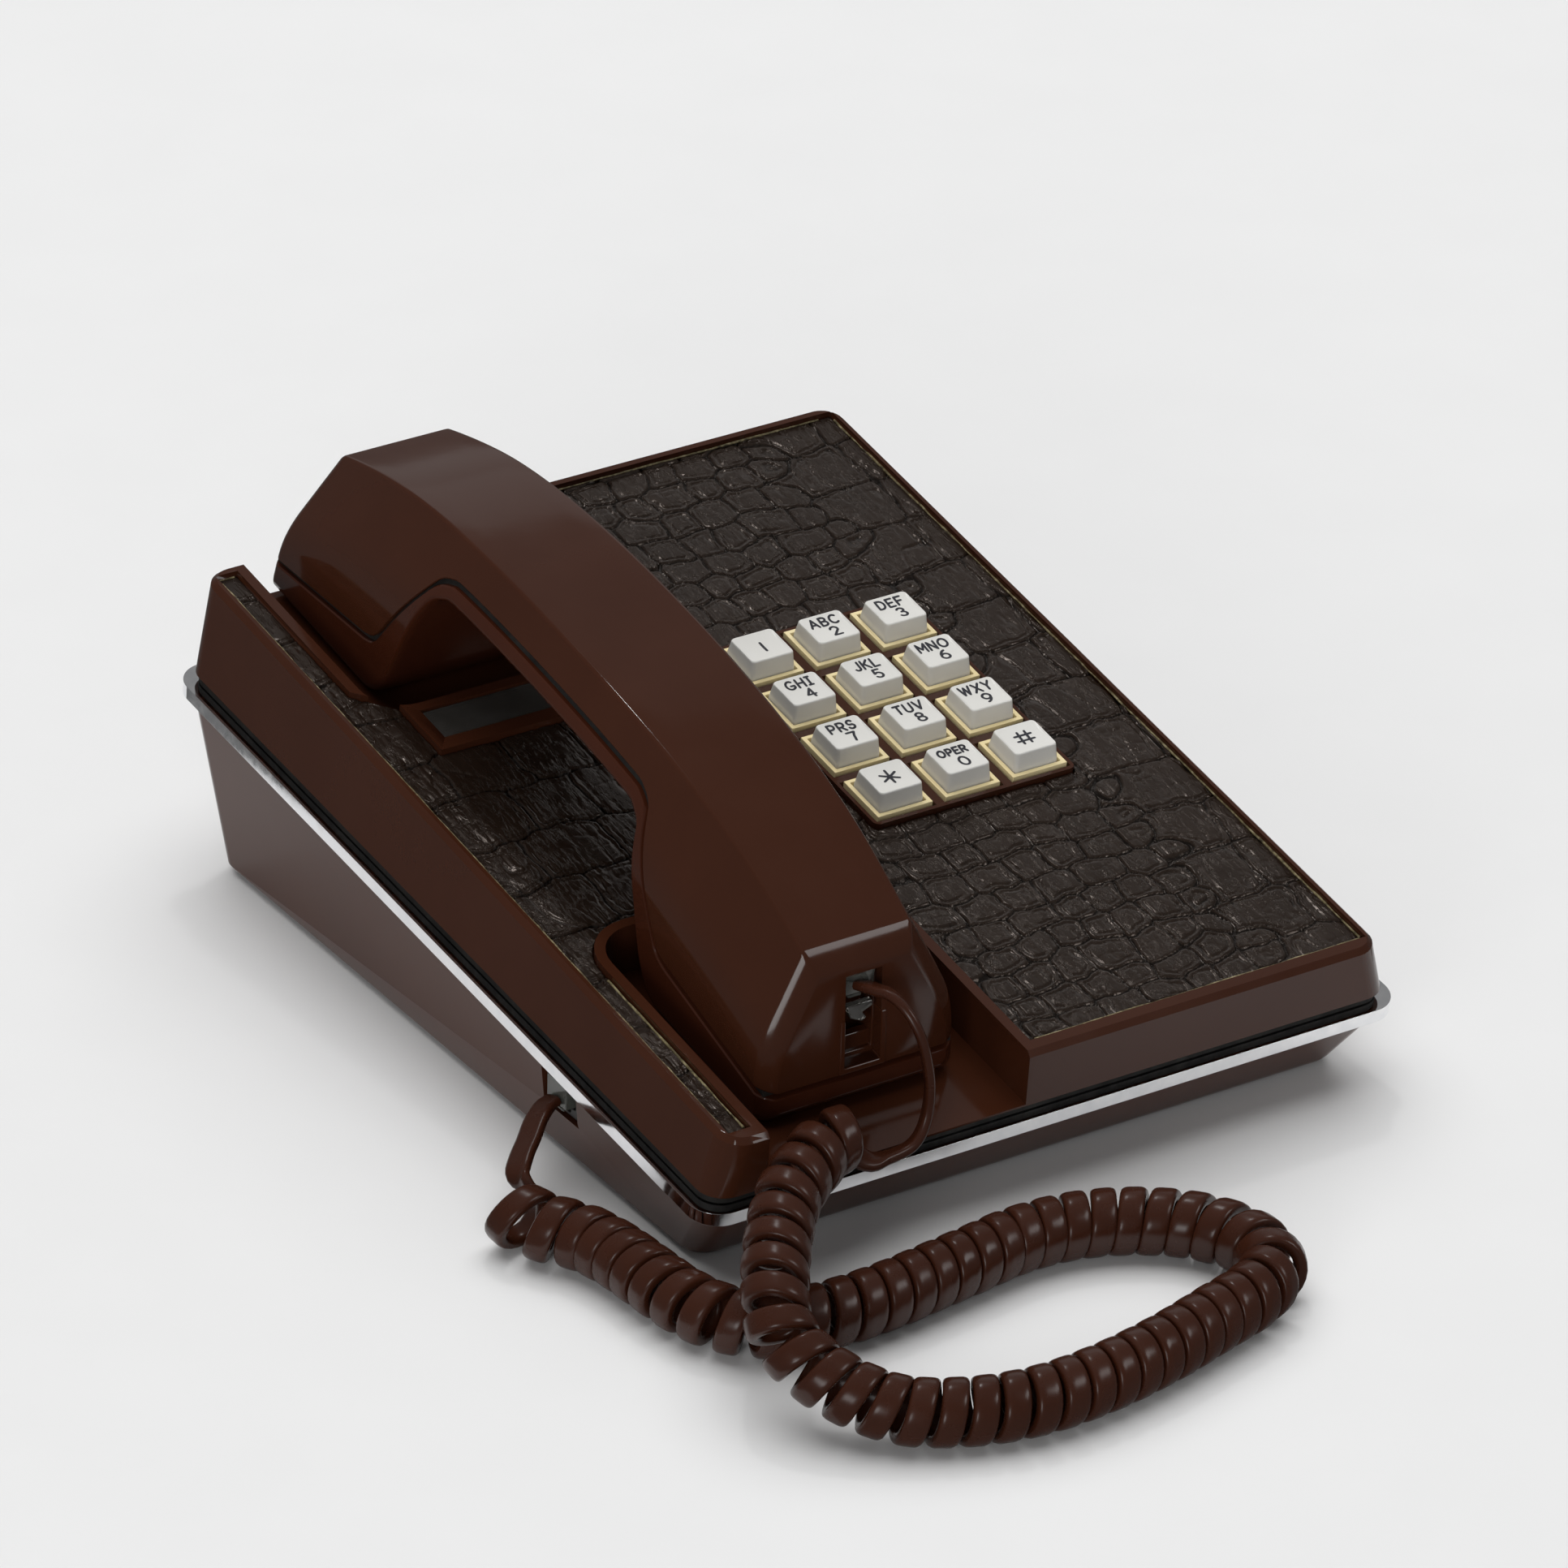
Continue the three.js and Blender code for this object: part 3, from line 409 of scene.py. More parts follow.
def refined(node):
    """A solid's own shape as a clean mesh with rounded edges."""
    mesh = bpy.data.meshes.new(node + "_finished")
    source = bmesh.new()
    source.from_mesh(frame["nodes"][node].data)
    bmesh.ops.remove_doubles(source, verts=source.verts, dist=WELD)
    bmesh.ops.dissolve_limit(source, angle_limit=math.radians(FLAT_WITHIN), verts=source.verts,
                             edges=source.edges)
    if node not in PLAIN_RINGS:         # a flat face with openings in it can't be rounded as one polygon
        bmesh.ops.triangulate(source, faces=[face for face in source.faces if len(face.verts) > 4])
    source.to_mesh(mesh)
    source.free()
    shade(mesh)
    piece = new_piece(node + "_finished", mesh, SLOT_OF[node], BODY_OF[node], [node])
    if node in FINISH_OF:
        mesh.materials[0] = LOOKS[FINISH_OF[node]]
    round_edges(piece, EDGE_ROUND)


# ---- mesh helpers

def placed_mesh(name, points, faces, matrix):
    """A mesh from points in millimetres on one of the sloping planes."""
    flat = np.array(points, float) * MM
    turned = flat @ np.array(matrix.to_3x3()).T + np.array(matrix.translation)
    mesh = bpy.data.meshes.new(name)
    mesh.from_pydata(turned.tolist(), [], faces)
    return mesh


def ring_faces(rings, sides, start=0):
    """The side faces of a tube made of rings of points."""
    return [(start + r * sides + k, start + r * sides + (k + 1) % sides,
             start + (r + 1) * sides + (k + 1) % sides, start + (r + 1) * sides + k)
            for r in range(rings - 1) for k in range(sides)]


def end_faces(rings, sides, start=0):
    """The two faces that close such a tube."""
    last = start + (rings - 1) * sides
    return [tuple(reversed(range(start, start + sides))), tuple(range(last, last + sides))]


def outward(mesh):
    work = bmesh.new()
    work.from_mesh(mesh)
    bmesh.ops.recalc_face_normals(work, faces=work.faces)
    work.to_mesh(mesh)
    work.free()


def closed_mesh(name, points, faces, matrix):
    mesh = placed_mesh(name, points, faces, matrix)
    outward(mesh)
    return mesh


def combined(piece, cutter_mesh, operation):
    """The piece cut by, or kept inside, another closed mesh."""
    cutter = new_object("cutter", cutter_mesh)
    step = piece.modifiers.new("cut", "BOOLEAN")
    step.operation, step.object, step.solver = operation, cutter, "MANIFOLD"
    result = bpy.data.meshes.new_from_object(piece.evaluated_get(bpy.context.evaluated_depsgraph_get()))
    piece.modifiers.remove(step)
    materials = list(piece.data.materials)
    piece.data = result
    result.materials.clear()
    for material in materials:
        result.materials.append(material)
    bpy.data.objects.remove(cutter)


def box_points(x0, x1, y0, y1, z0, z1):
    return [(x, y, z) for z in (z0, z1) for y in (y0, y1) for x in (x0, x1)]


BOX_FACES = [(0, 2, 3, 1), (4, 5, 7, 6), (0, 1, 5, 4), (2, 6, 7, 3), (0, 4, 6, 2), (1, 3, 7, 5)]


# ---- handset

# Millimetres: x across the handset, u along it from its middle, w up from the deck.
CROWN, GRIP_THICK, SEAM_DEPTH, CUP_HALF, SIDE_SLOPE = 42.1, 12.3, 8.3, 24.5, 0.54
END_TOP, END_TOP_W, END_LEAN, CUP_BOTTOM = 98.5, 26.0, 6.5 / 36.5, -10.5
LEAN_FROM, LEAN_REACH = 66, 26          # where the sections start to lean towards the end faces
SEAM_GAP, SEAM_GROOVE = 1.45, 1.2
END_ROUND, CROWN_EDGE, KNEE_ROUND, LOW_EDGE, SEAM_EDGE = 3.6, 1.2, 26, 2.6, 0.3
END_FLATNESS = 1.45                     # 1 rounds the end faces' edges, 2 cuts them as flat chamfers
HOLE_RADIUS, HOLE_RING = 1.1, 7         # the holes for sound, one in a ring of six


def crown_at(u):
    return CROWN - 0.00095 * u * u - 8e-8 * u ** 4


def top_half_at(u):
    return 14.9 - 1.7 * (u / END_TOP) ** 2


def seam_at(u):
    """Height of the line where the two shells part."""
    u = np.abs(u)
    far_u = [38, 41.5, 43.5, 58, 60, 63, 107]
    far_w = [crown_at(38) - SEAM_DEPTH, crown_at(42) - SEAM_DEPTH - 1, 29.5, 6, 4, 3, -3.5]
    return np.where(u < 38, crown_at(u) - SEAM_DEPTH, np.interp(u, far_u, far_w))


def underside_at(u):
    u = np.abs(u)
    far_u = [38, 43, 53, 57, 61, 107]
    far_w = [crown_at(38) - GRIP_THICK, crown_at(43) - GRIP_THICK - 2.5, CUP_BOTTOM + 8, CUP_BOTTOM + 1.5,
             CUP_BOTTOM, CUP_BOTTOM]
    return np.where(u < 38, crown_at(u) - GRIP_THICK, np.interp(u, far_u, far_w))


def softened(line, reach):
    """A height line over the handset's length with its corners rounded over a distance."""
    u = np.arange(-130, 130, 0.25)
    w = line(u)
    width = int(reach / 0.25) | 1
    for _ in range(2):
        w = np.convolve(np.pad(w, width // 2, mode="edge"), np.ones(width) / width, mode="valid")
    return lambda at: np.interp(at, u, w)


seam_soft = softened(seam_at, 1.2)
underside_soft = softened(underside_at, 2.2)


def lean_at(u):
    """How far a section leans along the handset for each millimetre of height."""
    share = np.clip((abs(u) - LEAN_FROM) / LEAN_REACH, 0, 1)
    return math.copysign(eased(share) * END_LEAN, u)


def leaning_seam(u, lean):
    return float(seam_soft(u + lean * (END_TOP_W - float(seam_soft(u)))))


def side_at(line, w):
    """The x of a section's side at a height."""
    return np.interp(-w, -line[:, 1], line[:, 0])


def filleted(points, radii, steps=7):
    """An open polyline with its inner corners rounded."""
    out = [points[0]]
    for before, corner, after, radius in zip(points, points[1:], points[2:], radii):
        arrive = np.subtract(corner, before)
        leave = np.subtract(after, corner)
        in_length, out_length = np.linalg.norm(arrive), np.linalg.norm(leave)
        if min(in_length, out_length) < 1e-6:
            out.append(corner)
            continue
        arrive, leave = arrive / in_length, leave / out_length
        turn = math.acos(max(-1, min(1, arrive.dot(leave))))
        reach = min(radius * math.tan(turn / 2), 0.46 * in_length, 0.46 * out_length)
        a, b = corner - arrive * reach, corner + leave * reach
        for k in range(steps + 1):
            t = k / steps
            out.append((1 - t) ** 2 * a + 2 * t * (1 - t) * np.asarray(corner) + t * t * b)
    out.append(points[-1])
    return np.array(out)


def side_outline(u, inset):
    """The right side of the section from the crown's corner down past the cup's lip."""
    half, top = top_half_at(u), crown_at(u)
    knee = top - (CUP_HALF - half) / SIDE_SLOPE
    along = np.array([half - CUP_HALF, top - knee])
    along /= np.linalg.norm(along)
    shift = np.array([-along[1], along[0]]) * inset
    x_at = lambda w: half + shift[0] + (w - top - shift[1]) * along[0] / along[1]
    w_at = lambda x: top + shift[1] + (x - half - shift[0]) * along[1] / along[0]
    side = CUP_HALF - inset
    corners = [np.array([0.0, top - inset]), np.array([x_at(top - inset), top - inset]),
               np.array([side, w_at(side)]), np.array([side, -30.0])]
    return filleted(corners, [CROWN_EDGE, KNEE_ROUND])


def down_the_side(line, start, stop, count):
    """Evenly spaced points on an outline between two heights."""
    w = np.linspace(start, stop, count)
    return np.stack([side_at(line, w), w], axis=1)


def handset_bar(name, points, sides):
    """A closed bar made of rings of points, in the handset's own coordinates."""
    rings = len(points) // sides
    ends = [face[::-1] for face in end_faces(rings, sides)]
    return closed_mesh(name, points, ring_faces(rings, sides) + ends, HANDSET)


def shell_mesh(name, above):
    """One closed shell of the handset, above or below the parting line."""
    body_end = END_TOP - END_ROUND
    inner = np.concatenate([np.arange(0, 38, 2.0), np.arange(38, 64, 0.8),
                            np.arange(64, body_end, 2.2), [body_end]])
    stations = [(u, 0.0) for u in np.concatenate([-inner[:0:-1], inner])]
    for k in range(1, 12):
        t = math.radians(90 * k / 11)
        at = body_end + END_ROUND * math.sin(t) ** END_FLATNESS
        inset = END_ROUND * (1 - abs(math.cos(t)) ** END_FLATNESS)
        stations.append((at, inset))
        stations.insert(0, (-at, inset))
    rings = []
    for u, inset in stations:
        lean = lean_at(u)
        line = side_outline(u, inset)
        seam = leaning_seam(u, lean)
        if above:
            corner = line[1:9]
            low = seam + SEAM_GAP / 2
            side = down_the_side(line, corner[-1][1] - 0.2, low + SEAM_EDGE, 40)
            outline = list(corner) + list(side)
            face_x = side_at(line, low) - SEAM_EDGE
            half = [np.array([corner[0][0] * t, line[0][1]]) for t in (0, 0.35, 0.7)] + outline
            half += [np.array([face_x, low]), np.array([face_x * 0.5, low]), np.array([0, low])]
        else:
            high = seam - SEAM_GAP / 2
            bottom = float(underside_soft(u + lean * (END_TOP_W - CUP_BOTTOM))) + inset
            radius = min(LOW_EDGE, (high - bottom) * 0.5)
            side = down_the_side(line, high - SEAM_EDGE, bottom + radius, 34)
            corner = []
            for k in range(1, 9):
                t = math.radians(90 * k / 8)
                w = bottom + radius * (1 - math.sin(t))
                corner.append(np.array([side_at(line, w) - radius * (1 - math.cos(t)), w]))
            face_x = side_at(line, high) - SEAM_EDGE
            half = [np.array([0, high]), np.array([face_x * 0.5, high]), np.array([face_x, high])]
            half += list(side) + corner
            half += [np.array([corner[-1][0] * t, bottom]) for t in (0.66, 0.33, 0)]
        left = [np.array([-x, w]) for x, w in half[1:-1]][::-1]
        rings.append([(x, u + lean * (END_TOP_W - w), w) for x, w in half + left])
    return handset_bar(name, [p for ring in rings for p in ring], len(rings[0]))


def seam_shade_core_mesh(name):
    """A black tongue at the bottom of the parting groove, as painted shade where the gap is dark."""
    points = []
    for u in np.linspace(-END_TOP + 1.8, END_TOP - 1.8, 150):
        lean = lean_at(u)
        seam = leaning_seam(u, lean)
        line = side_outline(u, 0.0)
        for side, height in ((-1, -1), (1, -1), (1, 1), (-1, 1)):
            w = seam + height * (SEAM_GAP / 2 + 0.1)
            reach = float(side_at(line, w)) - SEAM_GROOVE
            points.append((side * reach, u + lean * (END_TOP_W - w), w))
    return handset_bar(name, points, 4)


def drill_mesh(places, radius, low, high):
    """Upright round bars that cut holes."""
    points, faces, sides = [], [], 16
    for x, u in places:
        start = len(points)
        for w in (low, high):
            points += [(x + radius * math.cos(2 * math.pi * k / sides),
                        u + radius * math.sin(2 * math.pi * k / sides), w) for k in range(sides)]
        faces += ring_faces(2, sides, start) + end_faces(2, sides, start)
    return placed_mesh("drill", points, faces, HANDSET)


def add_handset():
    outer = new_piece("handset_top_cover", shell_mesh("handset_top_cover", True), "brown_plastic",
                      "handset", ["handset_outer_shell"])
    slot_box = box_points(-4.5, 4.5, -115, -88, -1, 20.6)
    combined(outer, placed_mesh("slot", slot_box, BOX_FACES, HANDSET), "DIFFERENCE")
    shade(outer.data, 30)
    inner = new_piece("handset_caps", shell_mesh("handset_caps", False), "dark_brown_plastic", "handset",
                      ["handset_inner_shell"])
    # a black tongue in the parting groove: painted shade for the dark gap between the shells
    new_piece("handset_seam_shade_core", seam_shade_core_mesh("handset_seam_shade_core"), "black_rubber", "handset")
    front_at = lambda w: -END_TOP - END_LEAN * (END_TOP_W - w)
    # each part of the jack: its outline on the end face, its depths in front and behind, slot and look
    for label, outline, (before, behind), slot, look in (
        ("handset_jack_frame", [(-5.7, 10.2), (-5.7, -2.3), (5.7, -2.3), (5.7, 10.2), (4.4, 10.2),
                                (4.4, -1.0), (-4.4, -1.0), (-4.4, 10.2)],
         (0.32, 3.0), "brown_plastic", "brown_plastic"),
        ("handset_jack_latch", [(-3.4, 12.6), (-2.6, 9.6), (0.3, 8.2), (1.5, 8.9), (0.4, 10.3),
                                (2.9, 11.3), (2.9, 12.6)],
         (-0.9, 2.4), "clear_plastic", "window_plastic"),
        ("handset_jack_floor", [(-4.4, 3.4), (-4.4, -1.0), (4.4, -1.0), (4.4, 3.4)],
         (-4.0, 6.0), "brown_plastic", "brown_plastic"),
    ):
        points = [(x, front_at(w) + depth, w) for depth in (-before, behind) for x, w in outline]
        mesh = handset_bar(label, points, len(outline))
        mesh.materials.append(LOOKS[look])
        round_edges(new_piece(label, mesh, slot, "handset"), 0.25 * MM)
    places = []
    for middle in (-77, 80):
        places.append((0, middle))
        places += [(HOLE_RING * math.cos(k * math.pi / 3), middle + HOLE_RING * math.sin(k * math.pi / 3))
                   for k in range(6)]
    combined(inner, drill_mesh(places, HOLE_RADIUS, -20, -5), "DIFFERENCE")
    shade(inner.data, 30)


# ---- keys

KEY_X, KEY_S, KEY_PITCH = 31.0, 116.2, 17.46
KEY_LETTERS = [("1", "", "1"), ("2", "ABC", "2"), ("3", "DEF", "3"), ("4", "GHI", "4"), ("5", "JKL", "5"),
               ("6", "MNO", "6"), ("7", "PRS", "7"), ("8", "TUV", "8"), ("9", "WXY", "9"),
               ("star", "", "*"), ("0", "OPER", "0"), ("hash", "", "#")]
KEY_TOP, DISH = 4.7, 0.5
SKIRT_TOP = 4.15                # where a key's side turns over into its top
LEGEND_STROKE = 0.60
LEGEND_RAISED = 0.035
LETTER_GAP = 0.34               # between letters, as a share of their height


def dish_at(x, y):
    """How far a key's top dips below its front and back edges."""
    return DISH * np.clip(1 - (y / 4.9) ** 2, 0, 1) * np.clip(1 - 0.25 * (x / 5.4) ** 2, 0, 1)


def rounded_rectangle(half_x, half_y, radius, steps=6):
    corners = [(1, 1), (-1, 1), (-1, -1), (1, -1)]
    on_arc = lambda corner, angle: (corner[0] * (half_x - radius) + radius * math.cos(angle),
                                    corner[1] * (half_y - radius) + radius * math.sin(angle))
    points = []
    for i, corner in enumerate(corners):
        points += [on_arc(corner, math.radians(90 * i + 90 * k / steps)) for k in range(steps + 1)]
        last, follow = points[-1], on_arc(corners[(i + 1) % 4], math.radians(90 * i + 90))
        for k in range(1, steps):
            t = k / steps
            points.append((last[0] + (follow[0] - last[0]) * t, last[1] + (follow[1] - last[1]) * t))
    return points


def key_mesh(name, x, s):
    levels = [(-8.4, 2, 2, 0.3), (-5.95, 2, 2, 0.3), (-5.9, 6.4, 6.4, 0.8), (-5.0, 6.7, 6.7, 0.8),
              (-4.9, 5.7, 5.7, 0.9), (0.5, 5.66, 5.66, 0.9), (0.9, 5.62, 5.6, 0.9),
              (SKIRT_TOP, 5.42, 4.95, 1.0)]
    for k in range(1, 7):
        t = math.radians(90 * k / 6)
        levels.append((SKIRT_TOP + (KEY_TOP - SKIRT_TOP) * math.sin(t), 5.42 - 0.5 * (1 - math.cos(t)),
                       4.95 - 0.5 * (1 - math.cos(t)), 1.0))
    rings = [[(px, py, h) for px, py in rounded_rectangle(hx, hy, r)] for h, hx, hy, r in levels]
    rim = rings[-1]
    for share in (0.93, 0.85, 0.75, 0.64, 0.52, 0.40, 0.27, 0.14, 0.05):
        rings.append([(px * share, py * share, KEY_TOP) for px, py, _ in rim])
    sides = len(rings[0])
    dished_from = len(levels) - 4
    points = []
    for level, ring in enumerate(rings):
        ease = min(1.0, max(0.0, (level - dished_from) / 3))
        points += [(x + px, s + py, h - float(dish_at(px, py)) * ease) for px, py, h in ring]
    mesh = closed_mesh(name, points, ring_faces(len(rings), sides) + end_faces(len(rings), sides), DECK)
    shade(mesh, 50)
    return mesh


def bowl(x0, x1, y0, y1, start=90, sweep=-180, steps=9):
    """Part of an oval between two x and two y, as stroke points."""
    cx, cy, rx, ry = (x0 + x1) / 2, (y0 + y1) / 2, (x1 - x0) / 2, (y1 - y0) / 2
    return [(cx + rx * math.cos(math.radians(start + sweep * k / steps)),
             cy + ry * math.sin(math.radians(start + sweep * k / steps))) for k in range(steps + 1)]


# Plain block lettering, each character one unit high, drawn as strokes.
GLYPHS = {
    "A": (0.74, [[(0, 0), (0.37, 1), (0.74, 0)], [(0.13, 0.33), (0.61, 0.33)]]),
    "B": (0.6, [[(0.3, 0), (0, 0), (0, 1), (0.28, 1)], bowl(-0.02, 0.54, 0.53, 1),
                [(0, 0.53), (0.28, 0.53)], bowl(-0.02, 0.6, 0, 0.53)]),
    "C": (0.7, [bowl(0, 0.78, 0, 1, 52, 256, 14)]),
    "D": (0.66, [[(0.26, 1), (0, 1), (0, 0), (0.26, 0)], bowl(-0.14, 0.66, 0, 1)]),
    "E": (0.54, [[(0.54, 1), (0, 1), (0, 0), (0.54, 0)], [(0, 0.52), (0.46, 0.52)]]),
    "F": (0.54, [[(0.54, 1), (0, 1), (0, 0)], [(0, 0.52), (0.44, 0.52)]]),
    "G": (0.74, [bowl(0, 0.78, 0, 1, 52, 270, 14), [(0.42, 0.42), (0.74, 0.42), (0.74, 0.18)]]),
    "H": (0.62, [[(0, 0), (0, 1)], [(0.62, 0), (0.62, 1)], [(0, 0.52), (0.62, 0.52)]]),
    "I": (0.36, [[(0, 1), (0.36, 1)], [(0.18, 1), (0.18, 0)], [(0, 0), (0.36, 0)]]),
    "J": (0.46, [[(0.46, 1), (0.46, 0.24)], bowl(0, 0.46, 0, 0.48, 0, -160)]),
    "K": (0.6, [[(0, 0), (0, 1)], [(0.58, 1), (0, 0.42)], [(0.2, 0.6), (0.62, 0)]]),
    "L": (0.5, [[(0, 1), (0, 0), (0.5, 0)]]),
    "M": (0.76, [[(0, 0), (0, 1), (0.38, 0.32), (0.76, 1), (0.76, 0)]]),
    "N": (0.64, [[(0, 0), (0, 1), (0.64, 0), (0.64, 1)]]),
    "O": (0.8, [bowl(0, 0.8, 0, 1, 90, -360, 20)]),
    "P": (0.58, [[(0, 0), (0, 1), (0.3, 1)], bowl(0.02, 0.58, 0.44, 1), [(0.3, 0.44), (0, 0.44)]]),
    "R": (0.6, [[(0, 0), (0, 1), (0.3, 1)], bowl(0.02, 0.58, 0.46, 1), [(0.3, 0.46), (0, 0.46)],
                 [(0.28, 0.46), (0.6, 0)]]),
    "S": (0.56, [bowl(0.03, 0.53, 0.5, 1, 30, 240, 10) + bowl(0, 0.56, 0, 0.53, 90, -250, 10)[1:]]),
    "T": (0.62, [[(0, 1), (0.62, 1)], [(0.31, 1), (0.31, 0)]]),
    "U": (0.62, [[(0, 1), (0, 0.3)], bowl(0, 0.62, 0, 0.6, 180, 180), [(0.62, 0.3), (0.62, 1)]]),
    "V": (0.7, [[(0, 1), (0.35, 0), (0.7, 1)]]),
    "W": (0.96, [[(0, 1), (0.24, 0), (0.48, 0.9), (0.72, 0), (0.96, 1)]]),
    "X": (0.66, [[(0, 1), (0.66, 0)], [(0.66, 1), (0, 0)]]),
    "Y": (0.66, [[(0, 1), (0.33, 0.5), (0.66, 1)], [(0.33, 0.5), (0.33, 0)]]),
    "0": (0.68, [bowl(0, 0.68, 0, 1, 90, -360, 18)]),
    "1": (0.14, [[(0.07, 1), (0.07, 0)]]),
    "2": (0.6, [bowl(0.02, 0.58, 0.44, 1, 165, -200, 9), [(0.5, 0.55), (0, 0), (0.6, 0)]]),
    "3": (0.58, [bowl(0.03, 0.54, 0.54, 1, 150, -240, 9), bowl(0, 0.58, 0, 0.54, 90, -240, 10)]),
    "4": (0.64, [[(0.46, 0), (0.46, 1), (0, 0.3), (0.64, 0.3)]]),
    "5": (0.58, [[(0.54, 1), (0.12, 1), (0.06, 0.55)], bowl(0, 0.58, 0, 0.64, 140, -290, 12)]),
    "6": (0.62, [bowl(0, 0.62, 0, 0.62, 90, -360, 16), [(0.02, 0.36), (0.1, 0.66), (0.3, 0.9), (0.5, 1)]]),
    "7": (0.6, [[(0, 1), (0.6, 1), (0.42, 0.62), (0.24, 0)]]),
    "8": (0.6, [bowl(0.05, 0.55, 0.54, 1, 90, -360, 14), bowl(0, 0.6, 0, 0.54, 90, -360, 16)]),
    "9": (0.62, [bowl(0, 0.62, 0.38, 1, 90, -360, 16),
                 [(0.6, 0.64), (0.52, 0.34), (0.32, 0.1), (0.12, 0)]]),
}


def bars(strokes, width):
    """Strokes with rounded ends, as flat shapes laid a hair above one another."""
    points, faces = [], []
    for stroke in strokes:
        for (x0, y0), (x1, y1) in zip(stroke, stroke[1:]):
            start = len(points)
            angle = math.atan2(y1 - y0, x1 - x0)
            for k in range(14):
                end = (x1, y1) if k < 7 else (x0, y0)
                turn = angle - math.pi / 2 + math.pi * (k if k < 7 else k - 1) / 6
                points.append((end[0] + width / 2 * math.cos(turn), end[1] + width / 2 * math.sin(turn),
                               0.0006 * len(faces)))
            faces.append(tuple(range(start, start + 14)))
    return points, faces


def lettering(text, height, width):
    """A line of block lettering centred on the origin."""
    total = sum(GLYPHS[c][0] for c in text) + LETTER_GAP * (len(text) - 1)
    strokes, x = [], -total / 2
    for c in text:
        advance, drawn = GLYPHS[c]
        strokes += [[((x + px) * height, (py - 0.5) * height) for px, py in stroke] for stroke in drawn]
        x += advance + LETTER_GAP
    return bars(strokes, width)


def add_legend(label, letters, digit, x, s):
    points, faces = [], []

    def add(shape, dx, dy):
        start = len(points)
        points.extend((px + dx, py + dy, pz) for px, py, pz in shape[0])
        faces.extend(tuple(v + start for v in face) for face in shape[1])

    if digit == "*":
        arms = [math.radians(a) for a in (30, 90, 150)]
        add(bars([[(2.2 * math.cos(a), 2.2 * math.sin(a)), (-2.2 * math.cos(a), -2.2 * math.sin(a))]
                  for a in arms], LEGEND_STROKE), 0, 0.2)
    elif digit == "#":
        add(bars([[(-1.1, -2.0), (-0.7, 2.0)], [(0.8, -2.0), (1.2, 2.0)],
                  [(-2.1, -0.9), (2.1, -0.9)], [(-2.0, 0.9), (2.2, 0.9)]], LEGEND_STROKE), 0, 0.2)
    else:
        if letters:
            add(lettering(letters, 2.0 if len(letters) > 3 else 2.6, LEGEND_STROKE * 0.94), -0.1, 2.3)
        add(lettering(digit, 3.1, LEGEND_STROKE), 0.7 if letters else 0.2, -1.55 if letters else -0.2)
    raised = [(x + px, s + py, KEY_TOP - float(dish_at(px, py)) + LEGEND_RAISED + pz)
              for px, py, pz in points]
    mesh = placed_mesh("legend_" + label, raised, faces, DECK)
    mesh.materials.append(LOOKS["legend_ink"])
    new_piece("legend_" + label, mesh, "black_plastic", "key_" + label)


def add_keys():
    for i, (label, letters, digit) in enumerate(KEY_LETTERS):
        x = KEY_X + (i % 3 - 1) * KEY_PITCH
        s = KEY_S + (1.5 - i // 3) * KEY_PITCH
        new_piece("keycap_" + label, key_mesh("keycap_" + label, x, s), "ivory_plastic", "key_" + label,
                  ["key_" + label])
        add_legend(label, letters, digit, x, s)


# ---- embossed hide

HIDE_X, HIDE_S = (-80.6, 80.61), (4.0, 219.2)
HIDE_STEP, HIDE_BOTTOM = 0.34, -2.45
ROW = 16.4                                 # length of a belly scale along the deck
# Each band of scales across the deck: where it starts and how far that drifts, where it ends, the
# widths of its scales, how far along the row they sit, how far they stray, and their length.
BANDS = [(-86, (0, 6), -14, (13, 21), 0, 0.8, ROW), (57, (-1.5, 1.5), 88, (17, 24), 0, 0.8, ROW),
         (-14, (-3, 3), 57, (7.5, 12), -0.25, 1.3, ROW / 2),
         (-14, (-3, 3), 57, (7.5, 12), 0.25, 1.3, ROW / 2)]


def value_noise(x, y, cell_x, cell_y, seed):
    """Smooth noise from 0 to 1 over a plane, with its own cell size each way."""
    table = np.random.RandomState(seed).rand(256, 256)
    gx, gy = x / cell_x + 1000, y / cell_y + 1000
    ix, iy = np.floor(gx).astype(int), np.floor(gy).astype(int)
    fx, fy = eased(gx - ix), eased(gy - iy)
    pick = lambda a, b: table[a % 256, b % 256]
    low = pick(ix, iy) * (1 - fx) + pick(ix + 1, iy) * fx
    high = pick(ix, iy + 1) * (1 - fx) + pick(ix + 1, iy + 1) * fx
    return low * (1 - fy) + high * fy


def scale_seeds():
    """Centres and sizes of the scales: wide belly scales at the sides, small round ones between."""
    rand = np.random.RandomState(7)
    seeds = []
    for row in range(-1, 15):
        s = 4 + ROW * row + rand.uniform(-0.5, 0.5)
        for start, drift, stop, widths, along, stray, length in BANDS:
            x = start + rand.uniform(*drift)
            while x < stop:
                width = rand.uniform(*widths)
                seeds.append((x + width / 2, s + along * ROW + rand.uniform(-stray, stray), width, length))
                x += width
    return np.array(seeds)


